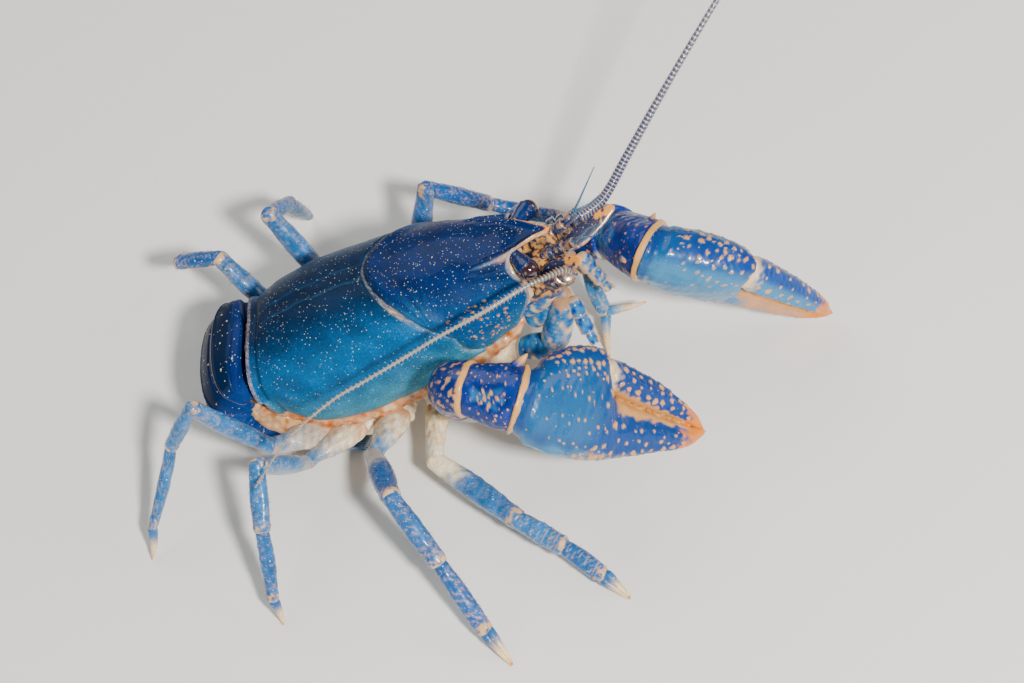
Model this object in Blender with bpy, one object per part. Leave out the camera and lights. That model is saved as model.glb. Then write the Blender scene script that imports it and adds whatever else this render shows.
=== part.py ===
"""Allegheny mountain mudbug, a blue burrowing crayfish, as a still life-size model.

The body is drawn in its own frame: x forward along the back, y to the animal's
left, z up, with the origin at the middle of the shell's hind margin. That frame
is then tilted and lifted so that the eight walking legs stand on the floor, z = 0.
All sizes below are in millimetres.
"""
import math

import bmesh
import bpy
from mathutils import Matrix, Vector

# Driving sizes
MM = 0.001
GAP = 0.3
BODY_PITCH = 14.9
BODY_ROLL = 6.2
BODY_LIFT = 15.3
FOOTPRINT_CENTRE = (25.31, -1.45)

SHELL_HALF_WIDTH = 8.55
GROOVE_TOP = 14.9
WIDEST_AT = 0.52
MARGIN_NARROWING = 0.17
BELLY_HOLLOW = 2.4
HIND_SWEEP = 1.3
ROSTRUM_TIP = (35.0, 0.0, -1.4)

STERNUM_HALF_WIDTH = 4.6
STERNUM_TOP = -12.2
STERNUM_BOTTOM = -14.9

CURL_RADIUS = 7.4
CURL_CENTRE = (-1.5, -7.35)
CURL_ANGLE = 166.0
TAIL_SEGMENTS = 6
TAIL_HALF_WIDTH = 6.5

EYE_RADIUS = 1.35
FOOT_RADIUS = 0.36

# Body frame to floor frame
TILT = (Matrix.Rotation(math.radians(-BODY_PITCH), 3, "Y")
        @ Matrix.Rotation(math.radians(-BODY_ROLL), 3, "X"))


def world(point):
    """Return the floor-frame place, in millimetres, of a point of the body frame."""
    return TILT @ Vector(point) + Vector((0.0, 0.0, BODY_LIFT))


def blend(knots, values, x):
    """Read a smooth curve through a few stations at x."""
    if x <= knots[0]:
        return values[0]
    for i in range(len(knots) - 1):
        if x <= knots[i + 1]:
            t = (x - knots[i]) / (knots[i + 1] - knots[i])
            before = values[max(i - 1, 0)]
            after = values[min(i + 2, len(values) - 1)]
            a, b = values[i], values[i + 1]
            return 0.5 * (2 * a + (b - before) * t + (2 * before - 5 * a + 4 * b - after) * t * t
                          + (3 * a - before - 3 * b + after) * t ** 3)
    return values[-1]


def power(value, exponent):
    """Raise a signed number to a power and keep its sign."""
    return math.copysign(abs(value) ** exponent, value)


def heading(azimuth, elevation):
    """Return the unit vector of a compass angle from +X and a climb angle."""
    az, el = math.radians(azimuth), math.radians(elevation)
    return Vector((math.cos(el) * math.cos(az), math.cos(el) * math.sin(az), math.sin(el)))


# Mesh tools
def material(name, colour, roughness):
    """Return a glossy shell material of one colour."""
    finish = bpy.data.materials.new(name)
    finish.use_nodes = True
    shader = finish.node_tree.nodes["Principled BSDF"]
    shader.inputs["Base Color"].default_value = (*colour, 1.0)
    shader.inputs["Roughness"].default_value = roughness
    shader.inputs["Metallic"].default_value = 0.0
    return finish


def add_object(name, mesh_data, finish):
    """Place a finished bmesh as one named object."""
    bmesh.ops.recalc_face_normals(mesh_data, faces=mesh_data.faces)
    mesh = bpy.data.meshes.new(name)
    mesh_data.to_mesh(mesh)
    mesh_data.free()
    mesh.shade_smooth()
    mesh.set_sharp_from_angle(angle=math.radians(40))
    mesh.materials.append(finish)
    piece = bpy.data.objects.new(name, mesh)
    bpy.context.scene.collection.objects.link(piece)
    return piece


def loft(rings, bulge_start=0.0, bulge_end=0.0):
    """Skin a closed body over rings of points: a capped tube moved onto them."""
    sides = len(rings[0])
    levels = len(rings) - 1
    bm = bmesh.new()
    bmesh.ops.create_cone(bm, cap_ends=True, segments=sides, radius1=1, radius2=1, depth=levels)
    if levels > 1:
        lengthwise = [e for e in bm.edges if abs(e.verts[0].co.z - e.verts[1].co.z) > 0.5 * levels]
        bmesh.ops.subdivide_edges(bm, edges=lengthwise, cuts=levels - 1, use_grid_fill=True)
    turn = 2 * math.pi / sides
    for vert in bm.verts:
        level = round(vert.co.z + 0.5 * levels)
        side = round(math.atan2(vert.co.y, vert.co.x) / turn) % sides
        vert.co = rings[level][side]
    caps = sorted((f for f in bm.faces if len(f.verts) == sides and sides > 4),
                  key=lambda f: (f.calc_center_median() - middle(rings[0])).length)
    first, last = caps[0], caps[-1]
    axis = (middle(rings[-1]) - middle(rings[-2])).normalized()
    back = (middle(rings[0]) - middle(rings[1])).normalized()
    tips = bmesh.ops.poke(bm, faces=[first, last])["verts"]
    for vert in tips:
        if (vert.co - middle(rings[0])).length < (vert.co - middle(rings[-1])).length:
            vert.co += back * bulge_start
        else:
            vert.co += axis * bulge_end
    bm.transform(Matrix.Diagonal((MM, MM, MM, 1.0)) @ Matrix.Translation(
        (-FOOTPRINT_CENTRE[0], -FOOTPRINT_CENTRE[1], 0.0)))
    return bm


def middle(ring):
    """Return the mean point of a ring."""
    return sum(ring, Vector()) / len(ring)


def oval(centre, across, upward, half_across, half_up, sides, exponent=2.0):
    """Return one superelliptic ring of points about a centre."""
    ring = []
    for i in range(sides):
        angle = 2 * math.pi * i / sides
        ring.append(Vector(centre)
                    + across * (half_across * power(math.cos(angle), 2.0 / exponent))
                    + upward * (half_up * power(math.sin(angle), 2.0 / exponent)))
    return ring


def solid(name, rings, finish, bulge_start=0.0, bulge_end=0.0):
    """Make one node from rings."""
    return add_object(name, loft(rings, bulge_start, bulge_end), finish)


def fuse(base, extras):
    """Join rooted pieces to a node and remove them."""
    group = bpy.data.collections.new(base.name + "_extras")
    for extra in extras:
        bpy.context.scene.collection.objects.unlink(extra)
        group.objects.link(extra)
    union = base.modifiers.new("joined", "BOOLEAN")
    union.operation = "UNION"
    union.operand_type = "COLLECTION"
    union.collection = group
    union.solver = "EXACT"
    evaluated = base.evaluated_get(bpy.context.evaluated_depsgraph_get())
    joined = bpy.data.meshes.new_from_object(evaluated)
    base.modifiers.clear()
    finish = base.data.materials[0]
    base.data = joined
    joined.materials.clear()
    joined.materials.append(finish)
    for extra in list(group.objects):
        bpy.data.objects.remove(extra, do_unlink=True)
    bpy.data.collections.remove(group)
    keep_largest(joined)


def keep_largest(mesh):
    """Keep the largest closed surface of a mesh."""
    bm = bmesh.new()
    bm.from_mesh(mesh)
    bm.faces.ensure_lookup_table()
    unseen = set(bm.faces)
    shells = []
    while unseen:
        stack = [unseen.pop()]
        shell = list(stack)
        while stack:
            for edge in stack.pop().edges:
                for face in edge.link_faces:
                    if face in unseen:
                        unseen.remove(face)
                        stack.append(face)
                        shell.append(face)
        shells.append(shell)
    shells.sort(key=len, reverse=True)
    loose = [face for shell in shells[1:] for face in shell]
    if loose:
        bmesh.ops.delete(bm, geom=loose, context="FACES")
    bm.to_mesh(mesh)
    bm.free()


# Finishes
def finishes():
    """Return the materials by name."""
    return {
        "shell": material("dark_blue_shell", (0.012, 0.045, 0.16), 0.3),
        "abdomen": material("navy_abdomen", (0.01, 0.03, 0.11), 0.3),
        "claw": material("royal_blue_claw", (0.02, 0.09, 0.5), 0.3),
        "leg": material("mid_blue_leg", (0.06, 0.2, 0.55), 0.35),
        "underside": material("cream_underside", (0.6, 0.5, 0.34), 0.5),
        "antenna": material("slate_antenna", (0.1, 0.14, 0.22), 0.4),
        "mouth": material("pale_mouthparts", (0.35, 0.4, 0.5), 0.45),
        "eye": material("maroon_eye", (0.03, 0.008, 0.01), 0.1),
    }


# Shell
STATIONS = (0.0, 3.0, 8.0, 13.9, 18.0, 23.0, 27.0, 29.5, 31.5)
WIDTHS = (0.78, 0.92, 1.0, 0.96, 0.92, 0.83, 0.71, 0.6, 0.5)
TOPS = (0.0, 0.9, 1.7, 1.9, 1.9, 1.4, 0.5, 0.0, -0.6)
MARGINS = (-10.0, -12.2, -13.0, -12.7, -12.0, -11.1, -9.8, -8.7, -8.0)


def shell_point(x, angle, inset=0.0):
    """Return a point of the shell's surface at station x and angle from the left side."""
    half = blend(STATIONS, WIDTHS, x) * SHELL_HALF_WIDTH - inset
    top = blend(STATIONS, TOPS, x) - inset
    margin = blend(STATIONS, MARGINS, x) + inset
    waist = top - WIDEST_AT * (top - margin)
    c, s = math.cos(angle), math.sin(angle)
    if s >= 0:
        y = half * power(c, 2 / 2.25)
        z = waist + (top - waist) * power(s, 2 / 2.25)
    else:
        y = half * power(c, 2 / 4.0)
        z = waist + (waist - margin) * power(s, 2 / 4.0)
        fall = (waist - z) / (waist - margin)
        y *= 1.0 - MARGIN_NARROWING * fall ** 2
        edge = half * (1.0 - MARGIN_NARROWING)
        z += BELLY_HOLLOW * fall ** 6 * max(0.0, 1.0 - (y / edge) ** 2) ** 0.8
    return Vector((x, y, z))


def groove_station(angle):
    """Return how far forward the neck groove lies at an angle."""
    s = math.sin(angle)
    side = 1.0 - max(0.0, s)
    return GROOVE_TOP + 7.3 * side ** 0.68 + 4.6 * max(0.0, -s) ** 1.5


def hind_station(angle):
    """Return the hind margin, which sweeps back at the sides."""
    return -HIND_SWEEP * abs(math.cos(angle)) ** 1.5 * (1.0 if math.sin(angle) > 0 else 0.6)


def front_station(angle):
    """Return the cheek's front margin."""
    s = math.sin(angle)
    return 30.6 - 1.6 * max(0.0, s) ** 3 - 3.2 * max(0.0, -s) ** 1.6


def shell_rings(start, end, count, sides, shift=0.0):
    """Return shell rings between two curved margins."""
    rings = []
    for i in range(count + 1):
        t = i / count
        ring = []
        for j in range(sides):
            angle = 2 * math.pi * j / sides
            x = start(angle) + (end(angle) - start(angle)) * t + shift
            ring.append(world(shell_point(x, angle)))
        rings.append(ring)
    return rings


def make_thorax(finish):
    """Rear shell, from the hind margin to the neck groove."""
    rings = shell_rings(hind_station, lambda a: groove_station(a) - GAP, 10, 36)
    solid("carapace_rear", rings, finish["shell"])


def make_head(finish):
    """Front shell with the rostrum and its raised margins."""
    rings = shell_rings(groove_station, front_station, 7, 36)
    head = solid("carapace_head", rings, finish["shell"])
    tip = Vector(ROSTRUM_TIP)
    rostrum = []
    for t, half, height in ((0.0, 3.6, 1.0), (0.3, 3.0, 0.9), (0.6, 2.3, 0.7), (0.82, 1.5, 0.55),
                            (0.93, 0.8, 0.45), (1.0, 0.3, 0.28)):
        centre = Vector((26.0, 0.0, -0.6)).lerp(tip, t)
        rostrum.append(oval(world(centre), TILT @ Vector((0, 1, 0)), TILT @ Vector((0.2, 0, 1)),
                            half, height, 12, 3.0))
    extras = [solid("rostrum", rostrum, finish["shell"])]
    for side in (-1, 1):
        ridge = []
        for t, radius in ((0.0, 0.4), (0.35, 0.5), (0.7, 0.5), (0.95, 0.4)):
            centre = Vector((27.0, 3.2 * side, 0.0)).lerp(tip + Vector((-0.8, 0.5 * side, 0.3)), t)
            ridge.append(oval(world(centre), TILT @ Vector((0, 1, 0)), TILT @ Vector((0, 0, 1)),
                              radius, radius, 8))
        extras.append(solid("rostral_margin", ridge, finish["shell"]))
    fuse(head, extras)


def make_face(finish):
    """Block between the eyes and the mouth that carries the feelers."""
    rings = []
    for t, half, height in ((0.0, 3.6, 3.4), (0.6, 3.3, 3.2), (1.0, 2.4, 2.4)):
        centre = Vector((31.2 + 1.6 * t, 0.0, -6.2))
        rings.append(oval(world(centre), TILT @ Vector((0, 1, 0)), TILT @ Vector((0.25, 0, 1)),
                          half, height, 16, 3.0))
    solid("face", rings, finish["mouth"])


def make_sternum(finish):
    """Narrow keel between the leg roots."""
    rings = []
    middle_z = 0.5 * (STERNUM_TOP + STERNUM_BOTTOM)
    half_height = 0.5 * (STERNUM_TOP - STERNUM_BOTTOM)
    for x, width, height in ((2.6, 0.8, 0.7), (4.0, 1.0, 1.0), (13.0, 1.0, 1.0), (22.6, 1.0, 1.0),
                             (24.2, 0.8, 0.7)):
        rings.append(oval(world((x, 0.0, middle_z)), TILT @ Vector((0, 1, 0)),
                          TILT @ Vector((0, 0, 1)), STERNUM_HALF_WIDTH * width,
                          half_height * height, 16, 8.0))
    solid("sternum", rings, finish["underside"])


# Tail
def tail_frame(angle_deg):
    """Return the curl's centre, outward direction and cross direction at an angle."""
    fade = angle_deg / CURL_ANGLE
    centre = world((CURL_CENTRE[0], 0.0, CURL_CENTRE[1]))
    body_out = TILT @ Vector((0, 0, 1))
    body_back = TILT @ Vector((-1, 0, 0))
    across = (TILT @ Vector((0, 1, 0))).lerp(Vector((0, 1, 0)), fade).normalized()
    a = math.radians(angle_deg)
    outward = body_out * math.cos(a) + body_back * math.sin(a)
    outward = (outward - across * outward.dot(across)).normalized()
    return centre, outward, across


def tail_ring(angle_deg, lift, half_width, depth, sides, shift, sweep_share=0.0):
    """Return one wedge-faced ring of the tail about the curl's axis."""
    centre, outward, across = tail_frame(angle_deg)
    along = across.cross(outward)
    ring = []
    for j in range(sides):
        angle = 2 * math.pi * j / sides
        c, s = math.cos(angle), math.sin(angle)
        if s >= 0:
            height = CURL_RADIUS + lift - depth * 0.5 * (1.0 - power(s, 0.85))
            width = half_width * power(c, 0.85)
        else:
            height = CURL_RADIUS - depth * 0.5 - depth * 0.5 * power(-s, 0.5)
            width = half_width * power(c, 0.5)
        tuck = hind_station(angle) * sweep_share
        ring.append(centre + outward * height + across * width + along * (shift + tuck))
    return ring


def make_tail(finish):
    """Six overlapping rings that curl under, the last one heading forward."""
    step = CURL_ANGLE / TAIL_SEGMENTS
    for i in range(TAIL_SEGMENTS):
        rings = []
        for t in (0.0, 0.25, 0.6, 1.0):
            angle = (i + t) * step
            fade = angle / CURL_ANGLE
            half = TAIL_HALF_WIDTH * (0.97 + 0.06 * math.sin(math.pi * fade) - 0.2 * fade ** 2)
            depth = 5.6 - 1.0 * fade
            lift = -0.28 + 0.3 * t - 0.25 * fade
            shift = (0.5 - t) * -GAP
            if t == 0.0 and i == 0:
                shift = -GAP
            sweep_share = 1.0 - t if i == 0 else 0.0
            rings.append(tail_ring(angle, lift, half, depth, 28, shift, sweep_share))
        solid("tail_segment_%d" % (i + 1), rings, finish["abdomen"])


def make_tail_fan(finish):
    """Middle plate and the two side paddles, folded forward on the floor."""
    centre, outward, _ = tail_frame(CURL_ANGLE)
    edge = centre + outward * (CURL_RADIUS - 0.6)
    ahead = Vector((1.0, 0.0, 0.07)).normalized()
    level = Vector((0.0, 0.0, 1.0))
    sideways = Vector((0.0, 1.0, 0.0))
    start = Vector((edge.x + 0.9, edge.y, 0.95))
    plate = []
    for t, half in ((0.0, 2.2), (0.3, 2.6), (0.75, 2.5), (1.0, 1.7)):
        plate.append(oval(start + ahead * (8.6 * t), sideways, level, half, 0.45, 16, 3.0))
    solid("tail_plate", plate, finish["abdomen"])
    for side, name in ((-1, "right"), (1, "left")):
        paddle = []
        out = Vector((0.92, 0.38 * side, 0.06)).normalized()
        wide = Vector((-0.38 * side, 0.92, 0.0)).normalized()
        for t, half in ((0.0, 0.9), (0.25, 1.5), (0.7, 1.9), (1.0, 1.1)):
            plate_centre = start + Vector((0.0, 3.4 * side, 0.0)) + out * (8.2 * t)
            paddle.append(oval(plate_centre, wide, level, half, 0.42, 16, 3.0))
        solid("tail_paddle_" + name, paddle, finish["abdomen"])


# Jointed limbs
def sweep(points, articles, hinge, sides, start_ring=None, end_ring=None, flat=1.0):
    """Return rings along a bent limb.

    articles holds, for each stretch between two points, its (share, radius) stations.
    Joints inside the limb get a ring on the bisecting plane.
    """
    rings = [start_ring] if start_ring else []
    for k, stations in enumerate(articles):
        a, b = points[k], points[k + 1]
        along = (b - a).normalized()
        across = (hinge - along * hinge.dot(along)).normalized()
        upward = across.cross(along)
        for share, radius in stations:
            rings.append(oval(a.lerp(b, share), across, upward, radius * flat, radius, sides))
        if k + 1 < len(articles):
            ahead = (points[k + 2] - b).normalized()
            joint_axis = (along + ahead).normalized()
            joint_across = (hinge - joint_axis * hinge.dot(joint_axis)).normalized()
            radius = 0.5 * (stations[-1][1] + articles[k + 1][0][1]) * 0.86
            rings.append(oval(b, joint_across, joint_across.cross(joint_axis),
                              radius * flat, radius, sides))
    if end_ring:
        rings.append(end_ring)
    return rings


def clip(rings, place, normal, along):
    """Slide the points that pass a plane back onto it, along the limb."""
    for ring in rings:
        for i, point in enumerate(ring):
            excess = (point - place).dot(normal)
            if excess > 0.0:
                ring[i] = point - along * (excess / along.dot(normal))
    return rings


def bend_axis(points, k):
    """Return the limb's mean direction at joint k."""
    return ((points[k] - points[k - 1]).normalized()
            + (points[k + 1] - points[k]).normalized()).normalized()


def bend_ring(points, k, radius, hinge, sides, shift, flat=1.0):
    """Return the ring on the bisecting plane at joint k, moved along the limb by shift."""
    axis = bend_axis(points, k)
    across = (hinge - axis * hinge.dot(axis)).normalized()
    return oval(points[k] + axis * shift, across, across.cross(axis), radius * flat, radius, sides)


def limb_points(root, stretches):
    """Return the joints of a limb from its root and (length, azimuth, elevation) stretches."""
    points = [world(root)]
    for length, azimuth, elevation in stretches:
        points.append(points[-1] + heading(azimuth, elevation) * length)
    return points


# Walking legs: root station, then coxa-ischium, merus, carpus, palm and finger
LEGS = {
    "leg_2_right": ((15.4, -6.5, -14.3),
                    ((6.4, -100, -9), (11.6, -45, -5), (5.6, -37, -14), (5.3, -44, -12), (3.7, -44, 0))),
    "leg_3_right": ((10.9, -6.6, -14.5),
                    ((5.8, -123, 12), (10.2, -73, 28), (8.3, -58, -32), (8.5, -60, -32), (4.5, -57, 0))),
    "leg_4_right": ((6.7, -6.5, -14.5),
                    ((7.6, -152, 9), (9.2, -129, 53), (6.7, -96, -33), (7.7, -96, -50), (3.2, -76, 0))),
    "leg_5_right": ((3.4, -6.2, -14.2),
                    ((8.0, -160, 28), (10.0, 167, 47), (6.3, -166, -53), (9.3, -125, -42), (3.8, -113, 0))),
    "leg_2_left": ((15.4, 6.5, -14.0),
                   ((7.3, 71, 17), (11.6, -11, 6), (5.4, -52, -10), (5.2, -74, -57), (5.1, -96, 0))),
    "leg_3_left": ((10.9, 6.6, -14.1),
                   ((6.8, 78, 0), (10.1, 51, 55), (8.2, 10, -46), (8.5, -5, -29), (4.5, -4, 0))),
    "leg_4_left": ((6.7, 6.5, -14.0),
                   ((7.0, 123, 31), (10.3, 134, 49), (6.7, 75, -45), (7.6, 87, -64), (3.2, 87, 0))),
    "leg_5_left": ((3.4, 6.2, -13.7),
                   ((6.9, 151, 21), (9.8, 142, 47), (5.7, 160, -20), (9.0, 100, -52), (3.7, 111, 0))),
}
LEG_THICKNESS = {"2": 1.12, "3": 1.08, "4": 1.0, "5": 0.95}
LEG_SIDES = 10


def make_leg(name, root, stretches, finish):
    """One walking leg in two nodes, parted at the knee, standing on a small flat."""
    girth = LEG_THICKNESS[name[4]]
    points = limb_points(root, stretches)
    foot = points[-1]
    toe = points[-2]
    reach = stretches[-1][0]
    drop = min(toe.z, 0.95 * reach)
    level_reach = math.sqrt(reach ** 2 - drop ** 2)
    flat_direction = Vector((foot.x - toe.x, foot.y - toe.y, 0.0)).normalized()
    points[-1] = Vector((toe.x, toe.y, 0.0)) + flat_direction * level_reach
    outward = -1.0 if root[1] < 0 else 1.0
    side_axis = TILT @ Vector((0, outward, 0))
    start = world((root[0], outward * (STERNUM_HALF_WIDTH + GAP), root[2] + 0.6))
    hinge = (points[2] - points[1]).cross(points[3] - points[2]).normalized()
    across = (hinge - side_axis * hinge.dot(side_axis)).normalized()
    start_ring = oval(start, across, across.cross(side_axis), 1.05, 1.05, LEG_SIDES)
    upper = [((0.1, 1.0 * girth), (0.35, 1.0 * girth), (0.86, 0.95 * girth)),
             ((0.14, 1.0 * girth), (0.45, 1.3 * girth), (0.85, 1.15 * girth))]
    knee = bend_ring(points, 2, 0.85 * girth, hinge, LEG_SIDES, -0.5 * GAP)
    rings = sweep(points[:3], upper, hinge, LEG_SIDES, start_ring, knee)
    solid(name + "_upper", rings, finish["leg"])
    lower = [((0.2, 0.95 * girth), (0.6, 1.05 * girth), (0.88, 0.95 * girth)),
             ((0.12, 0.85 * girth), (0.5, 0.95 * girth), (0.9, 0.75 * girth)),
             ((0.15, 0.62 * girth), (0.7, 0.42 * girth))]
    knee = bend_ring(points, 2, 0.85 * girth, hinge, LEG_SIDES, 0.5 * GAP)
    last = sweep(points[2:], lower, hinge, LEG_SIDES, knee)
    toe_ring = last[-1]
    ahead = (points[-1] - points[-2]).normalized()
    across = (hinge - ahead * hinge.dot(ahead))
    across.z = 0.0
    across.normalize()
    sole = oval(points[-1], across, across.cross(Vector((0, 0, -1))), FOOT_RADIUS, FOOT_RADIUS,
                LEG_SIDES)
    if (toe_ring[2] - toe_ring[7]).dot(sole[2] - sole[7]) < 0:
        sole = oval(points[-1], across, -across.cross(Vector((0, 0, -1))), FOOT_RADIUS,
                    FOOT_RADIUS, LEG_SIDES)
    solid(name + "_lower", last + [sole], finish["leg"])


# Great claws
CLAW_ARMS = {
    "right": ((21.0, -6.2, -13.4), ((3.6, -94, 6), (9.8, -112, 71), (7.8, -23, -1), (22.4, 9, -42))),
    "left": ((21.0, 6.2, -13.0), ((4.7, 34, 13), (12.3, -10, 25), (8.5, -50, 19), (21.6, -3, -42))),
}
INNER_EDGE = {"right": (0.17, 0.82, 0.55), "left": (0.19, -0.34, 0.92)}
CLAW_STATIONS = (0.0, 1.3, 3.5, 6.1, 8.6, 9.3)
PALM_INNER = (1.6, 4.2, 5.7, 6.5, 6.4, 5.7)
PALM_OUTER = (-2.2, -4.2, -4.9, -5.1, -5.0, -4.9)
PALM_DEPTH = (1.8, 2.4, 2.8, 2.9, 2.6, 2.3)
FINGER_STATIONS = (9.9, 12.8, 16.1, 19.0, 21.0, 22.2)
FINGER_OUTER = (-4.8, -4.1, -3.3, -2.5, -1.8, -0.9)
FINGER_DEPTH = (1.9, 1.6, 1.35, 1.1, 0.8, 0.4)
THUMB_OUTER = (5.5, 4.9, 4.0, 2.6, 1.5, 0.4)
THUMB_DEPTH = (1.7, 1.6, 1.3, 1.0, 0.7, 0.35)


def gap_line(s):
    """Return the height of the line between the two fingers."""
    return 2.1 - 2.2 * ((s - 9.6) / 12.6) ** 0.8 if s > 9.6 else 2.1


CLAW_SIDES = 14
PALM_SIDES = 20
THUMB_SIDES = 16
CLAW_ROOT_RADIUS = 1.3
CLAW_JOINT_RADIUS = 2.5
PALM_START = (2.4, 2.3)
CLAW_SQUARENESS = 2.2


def make_claw(side, root, stretches, finish):
    """Upper arm, wrist, palm with its fixed finger, and the movable finger."""
    points = limb_points(root, stretches)
    outward = -1.0 if root[1] < 0 else 1.0
    side_axis = TILT @ Vector((0, outward, 0))
    hinge = (points[3] - points[2]).cross(points[4] - points[3]).normalized()
    across = (hinge - side_axis * hinge.dot(side_axis)).normalized()
    start = world((root[0], outward * (STERNUM_HALF_WIDTH + GAP), root[2] + 0.2))
    start_ring = oval(start, across, across.cross(side_axis), CLAW_ROOT_RADIUS, CLAW_ROOT_RADIUS,
                      CLAW_SIDES)
    arm = [((0.2, 1.5), (0.7, 1.7)), ((0.15, 1.8), (0.5, 2.5), (0.85, 2.8))]
    half_gap = 0.5 * GAP
    knee_axis = bend_axis(points, 2)
    wrist_axis = bend_axis(points, 3)
    arm_axis = (points[2] - points[1]).normalized()
    fore_axis = (points[3] - points[2]).normalized()
    axis = (points[4] - points[3]).normalized()
    knee_side, base = points[2], points[3]
    rings = sweep(points[:3], arm, hinge, CLAW_SIDES, start_ring,
                  bend_ring(points, 2, CLAW_JOINT_RADIUS, hinge, CLAW_SIDES, -half_gap))
    clip(rings, knee_side - knee_axis * half_gap, knee_axis, arm_axis)
    solid("claw_arm_" + side, rings, finish["claw"])
    wrist_stations = [((0.3, 3.1), (0.6, 3.6), (0.85, 3.5))]
    rings = sweep(points[2:4], wrist_stations, hinge, CLAW_SIDES,
                  bend_ring(points, 2, CLAW_JOINT_RADIUS, hinge, CLAW_SIDES, half_gap),
                  bend_ring(points, 3, CLAW_JOINT_RADIUS, hinge, CLAW_SIDES, -half_gap))
    clip(rings, knee_side + knee_axis * half_gap, -knee_axis, -fore_axis)
    clip(rings, base - wrist_axis * half_gap, wrist_axis, fore_axis)
    solid("claw_wrist_" + side, rings, finish["claw"])
    inner = Vector(INNER_EDGE[side])
    inner = (inner - axis * inner.dot(axis)).normalized()
    upward = inner.cross(axis) * (-outward)
    palm_start = oval(base + wrist_axis * half_gap, inner, upward, *PALM_START, PALM_SIDES)
    rings = [palm_start]
    for s, high, low, deep in zip(CLAW_STATIONS[1:], PALM_INNER[1:], PALM_OUTER[1:], PALM_DEPTH[1:]):
        rings.append(oval(base + axis * s + inner * 0.5 * (high + low), inner, upward,
                          0.5 * (high - low), deep, PALM_SIDES, CLAW_SQUARENESS))
    clip(rings, base + wrist_axis * half_gap, -wrist_axis, -axis)
    for s, low, deep in zip(FINGER_STATIONS, FINGER_OUTER, FINGER_DEPTH):
        high = gap_line(s) - 0.5 * GAP
        rings.append(oval(base + axis * s + inner * 0.5 * (high + low), inner, upward,
                          0.5 * (high - low), deep, PALM_SIDES, CLAW_SQUARENESS))
    solid("claw_palm_" + side, rings, finish["claw"])
    rings = []
    for s, high, deep in zip(FINGER_STATIONS, THUMB_OUTER, THUMB_DEPTH):
        low = gap_line(s) + 0.5 * GAP
        rings.append(oval(base + axis * (s + GAP) + inner * 0.5 * (high + low), inner, upward,
                          0.5 * (high - low), deep, THUMB_SIDES, CLAW_SQUARENESS))
    solid("claw_thumb_" + side, rings, finish["claw"])


# Head parts
def make_eye(side, finish):
    """Stalked eye beside the rostrum."""
    outward = -1.0 if side == "right" else 1.0
    centre = Vector((32.3, 4.1 * outward, -1.9))
    out = Vector((0.55, 0.83 * outward, 0.1)).normalized()
    across = Vector((0, 0, 1)).cross(out).normalized()
    upward = out.cross(across)
    rings = []
    for along, radius in ((-1.6, 0.6), (-1.0, 1.0), (-0.3, 1.3), (0.3, 1.3), (0.85, 1.0), (1.2, 0.5)):
        rings.append(oval(world(centre + out * along), TILT @ across, TILT @ upward,
                          radius * EYE_RADIUS / 1.35, radius * EYE_RADIUS / 1.35, 14))
    solid("eye_" + side, rings, finish["eye"], bulge_end=0.12)


def taper(name, path, radii, sides, finish):
    """Round tapering feeler through body-frame points that are already smooth."""
    points = [world(p) for p in path]
    rings = []
    for i, point in enumerate(points):
        along = (points[min(i + 1, len(points) - 1)] - points[max(i - 1, 0)]).normalized()
        across = Vector((0, 0, 1)).cross(along).normalized()
        rings.append(oval(point, across, along.cross(across), radii[i], radii[i], sides))
    solid(name, rings, finish)


def smooth_route(knots, count):
    """Return evenly spread points on a smooth curve through the knots."""
    places = [i / (len(knots) - 1) for i in range(len(knots))]
    return [Vector([blend(places, [k[axis] for k in knots], j / count) for axis in range(3)])
            for j in range(count + 1)]


FEELERS = {
    "right": ((36.4, -6.1, -1.5), (34.5, -7.3, -0.6), (32.4, -8.4, 0.1), (28.4, -10.2, 0.6),
              (23.4, -11.4, 0.6), (18.5, -12.2, 0.0), (14.1, -12.9, -0.5), (9.9, -13.7, -0.9),
              (4.2, -15.7, -2.1), (-0.9, -18.4, -4.5)),
    "left": ((36.8, 4.85, -6.3), (39.1, 6.4, -6.4), (42.6, 9.5, -4.6), (46.8, 12.9, -2.6),
             (51.4, 16.5, -0.5), (56.2, 20.4, 1.5), (60.8, 24.6, 3.0), (64.8, 29.2, 3.9),
             (68.2, 34.2, 4.0)),
}
FEELER_BASES = {
    "right": ((33.2, -3.0, -4.9), (34.6, -3.8, -4.2), (36.1, -4.9, -3.1), (37.3, -5.6, -2.3)),
    "left": ((33.4, 3.0, -5.4), (34.5, 3.4, -5.8), (35.5, 3.9, -6.1), (36.5, 4.6, -6.3)),
}
FEELER_ROOT_RADIUS = 0.62
FEELER_TIP_RADIUS = 0.2
FEELER_LENGTHS = 3


def make_feeler(side, finish):
    """Stout base with its scale, and the long whip in three lengths."""
    base = smooth_route(FEELER_BASES[side], 5)
    taper("feeler_base_" + side, base, (1.2, 1.45, 1.4, 1.25, 1.15, 0.8), 12, finish["antenna"])
    route = smooth_route(FEELERS[side], 36)
    share = len(route) // FEELER_LENGTHS
    for k in range(FEELER_LENGTHS):
        first, last = k * share, (k + 1) * share
        stretch = [p.copy() for p in route[first:last + 1]]
        if k > 0:
            stretch[0] += (stretch[1] - stretch[0]).normalized() * GAP
        radii = []
        for i in range(first, last + 1):
            t = i / (len(route) - 1)
            radii.append(FEELER_ROOT_RADIUS + (FEELER_TIP_RADIUS - FEELER_ROOT_RADIUS) * t ** 0.7)
        taper("feeler_%s_%d" % (side, k + 1), stretch, radii, 8, finish["antenna"])


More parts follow.
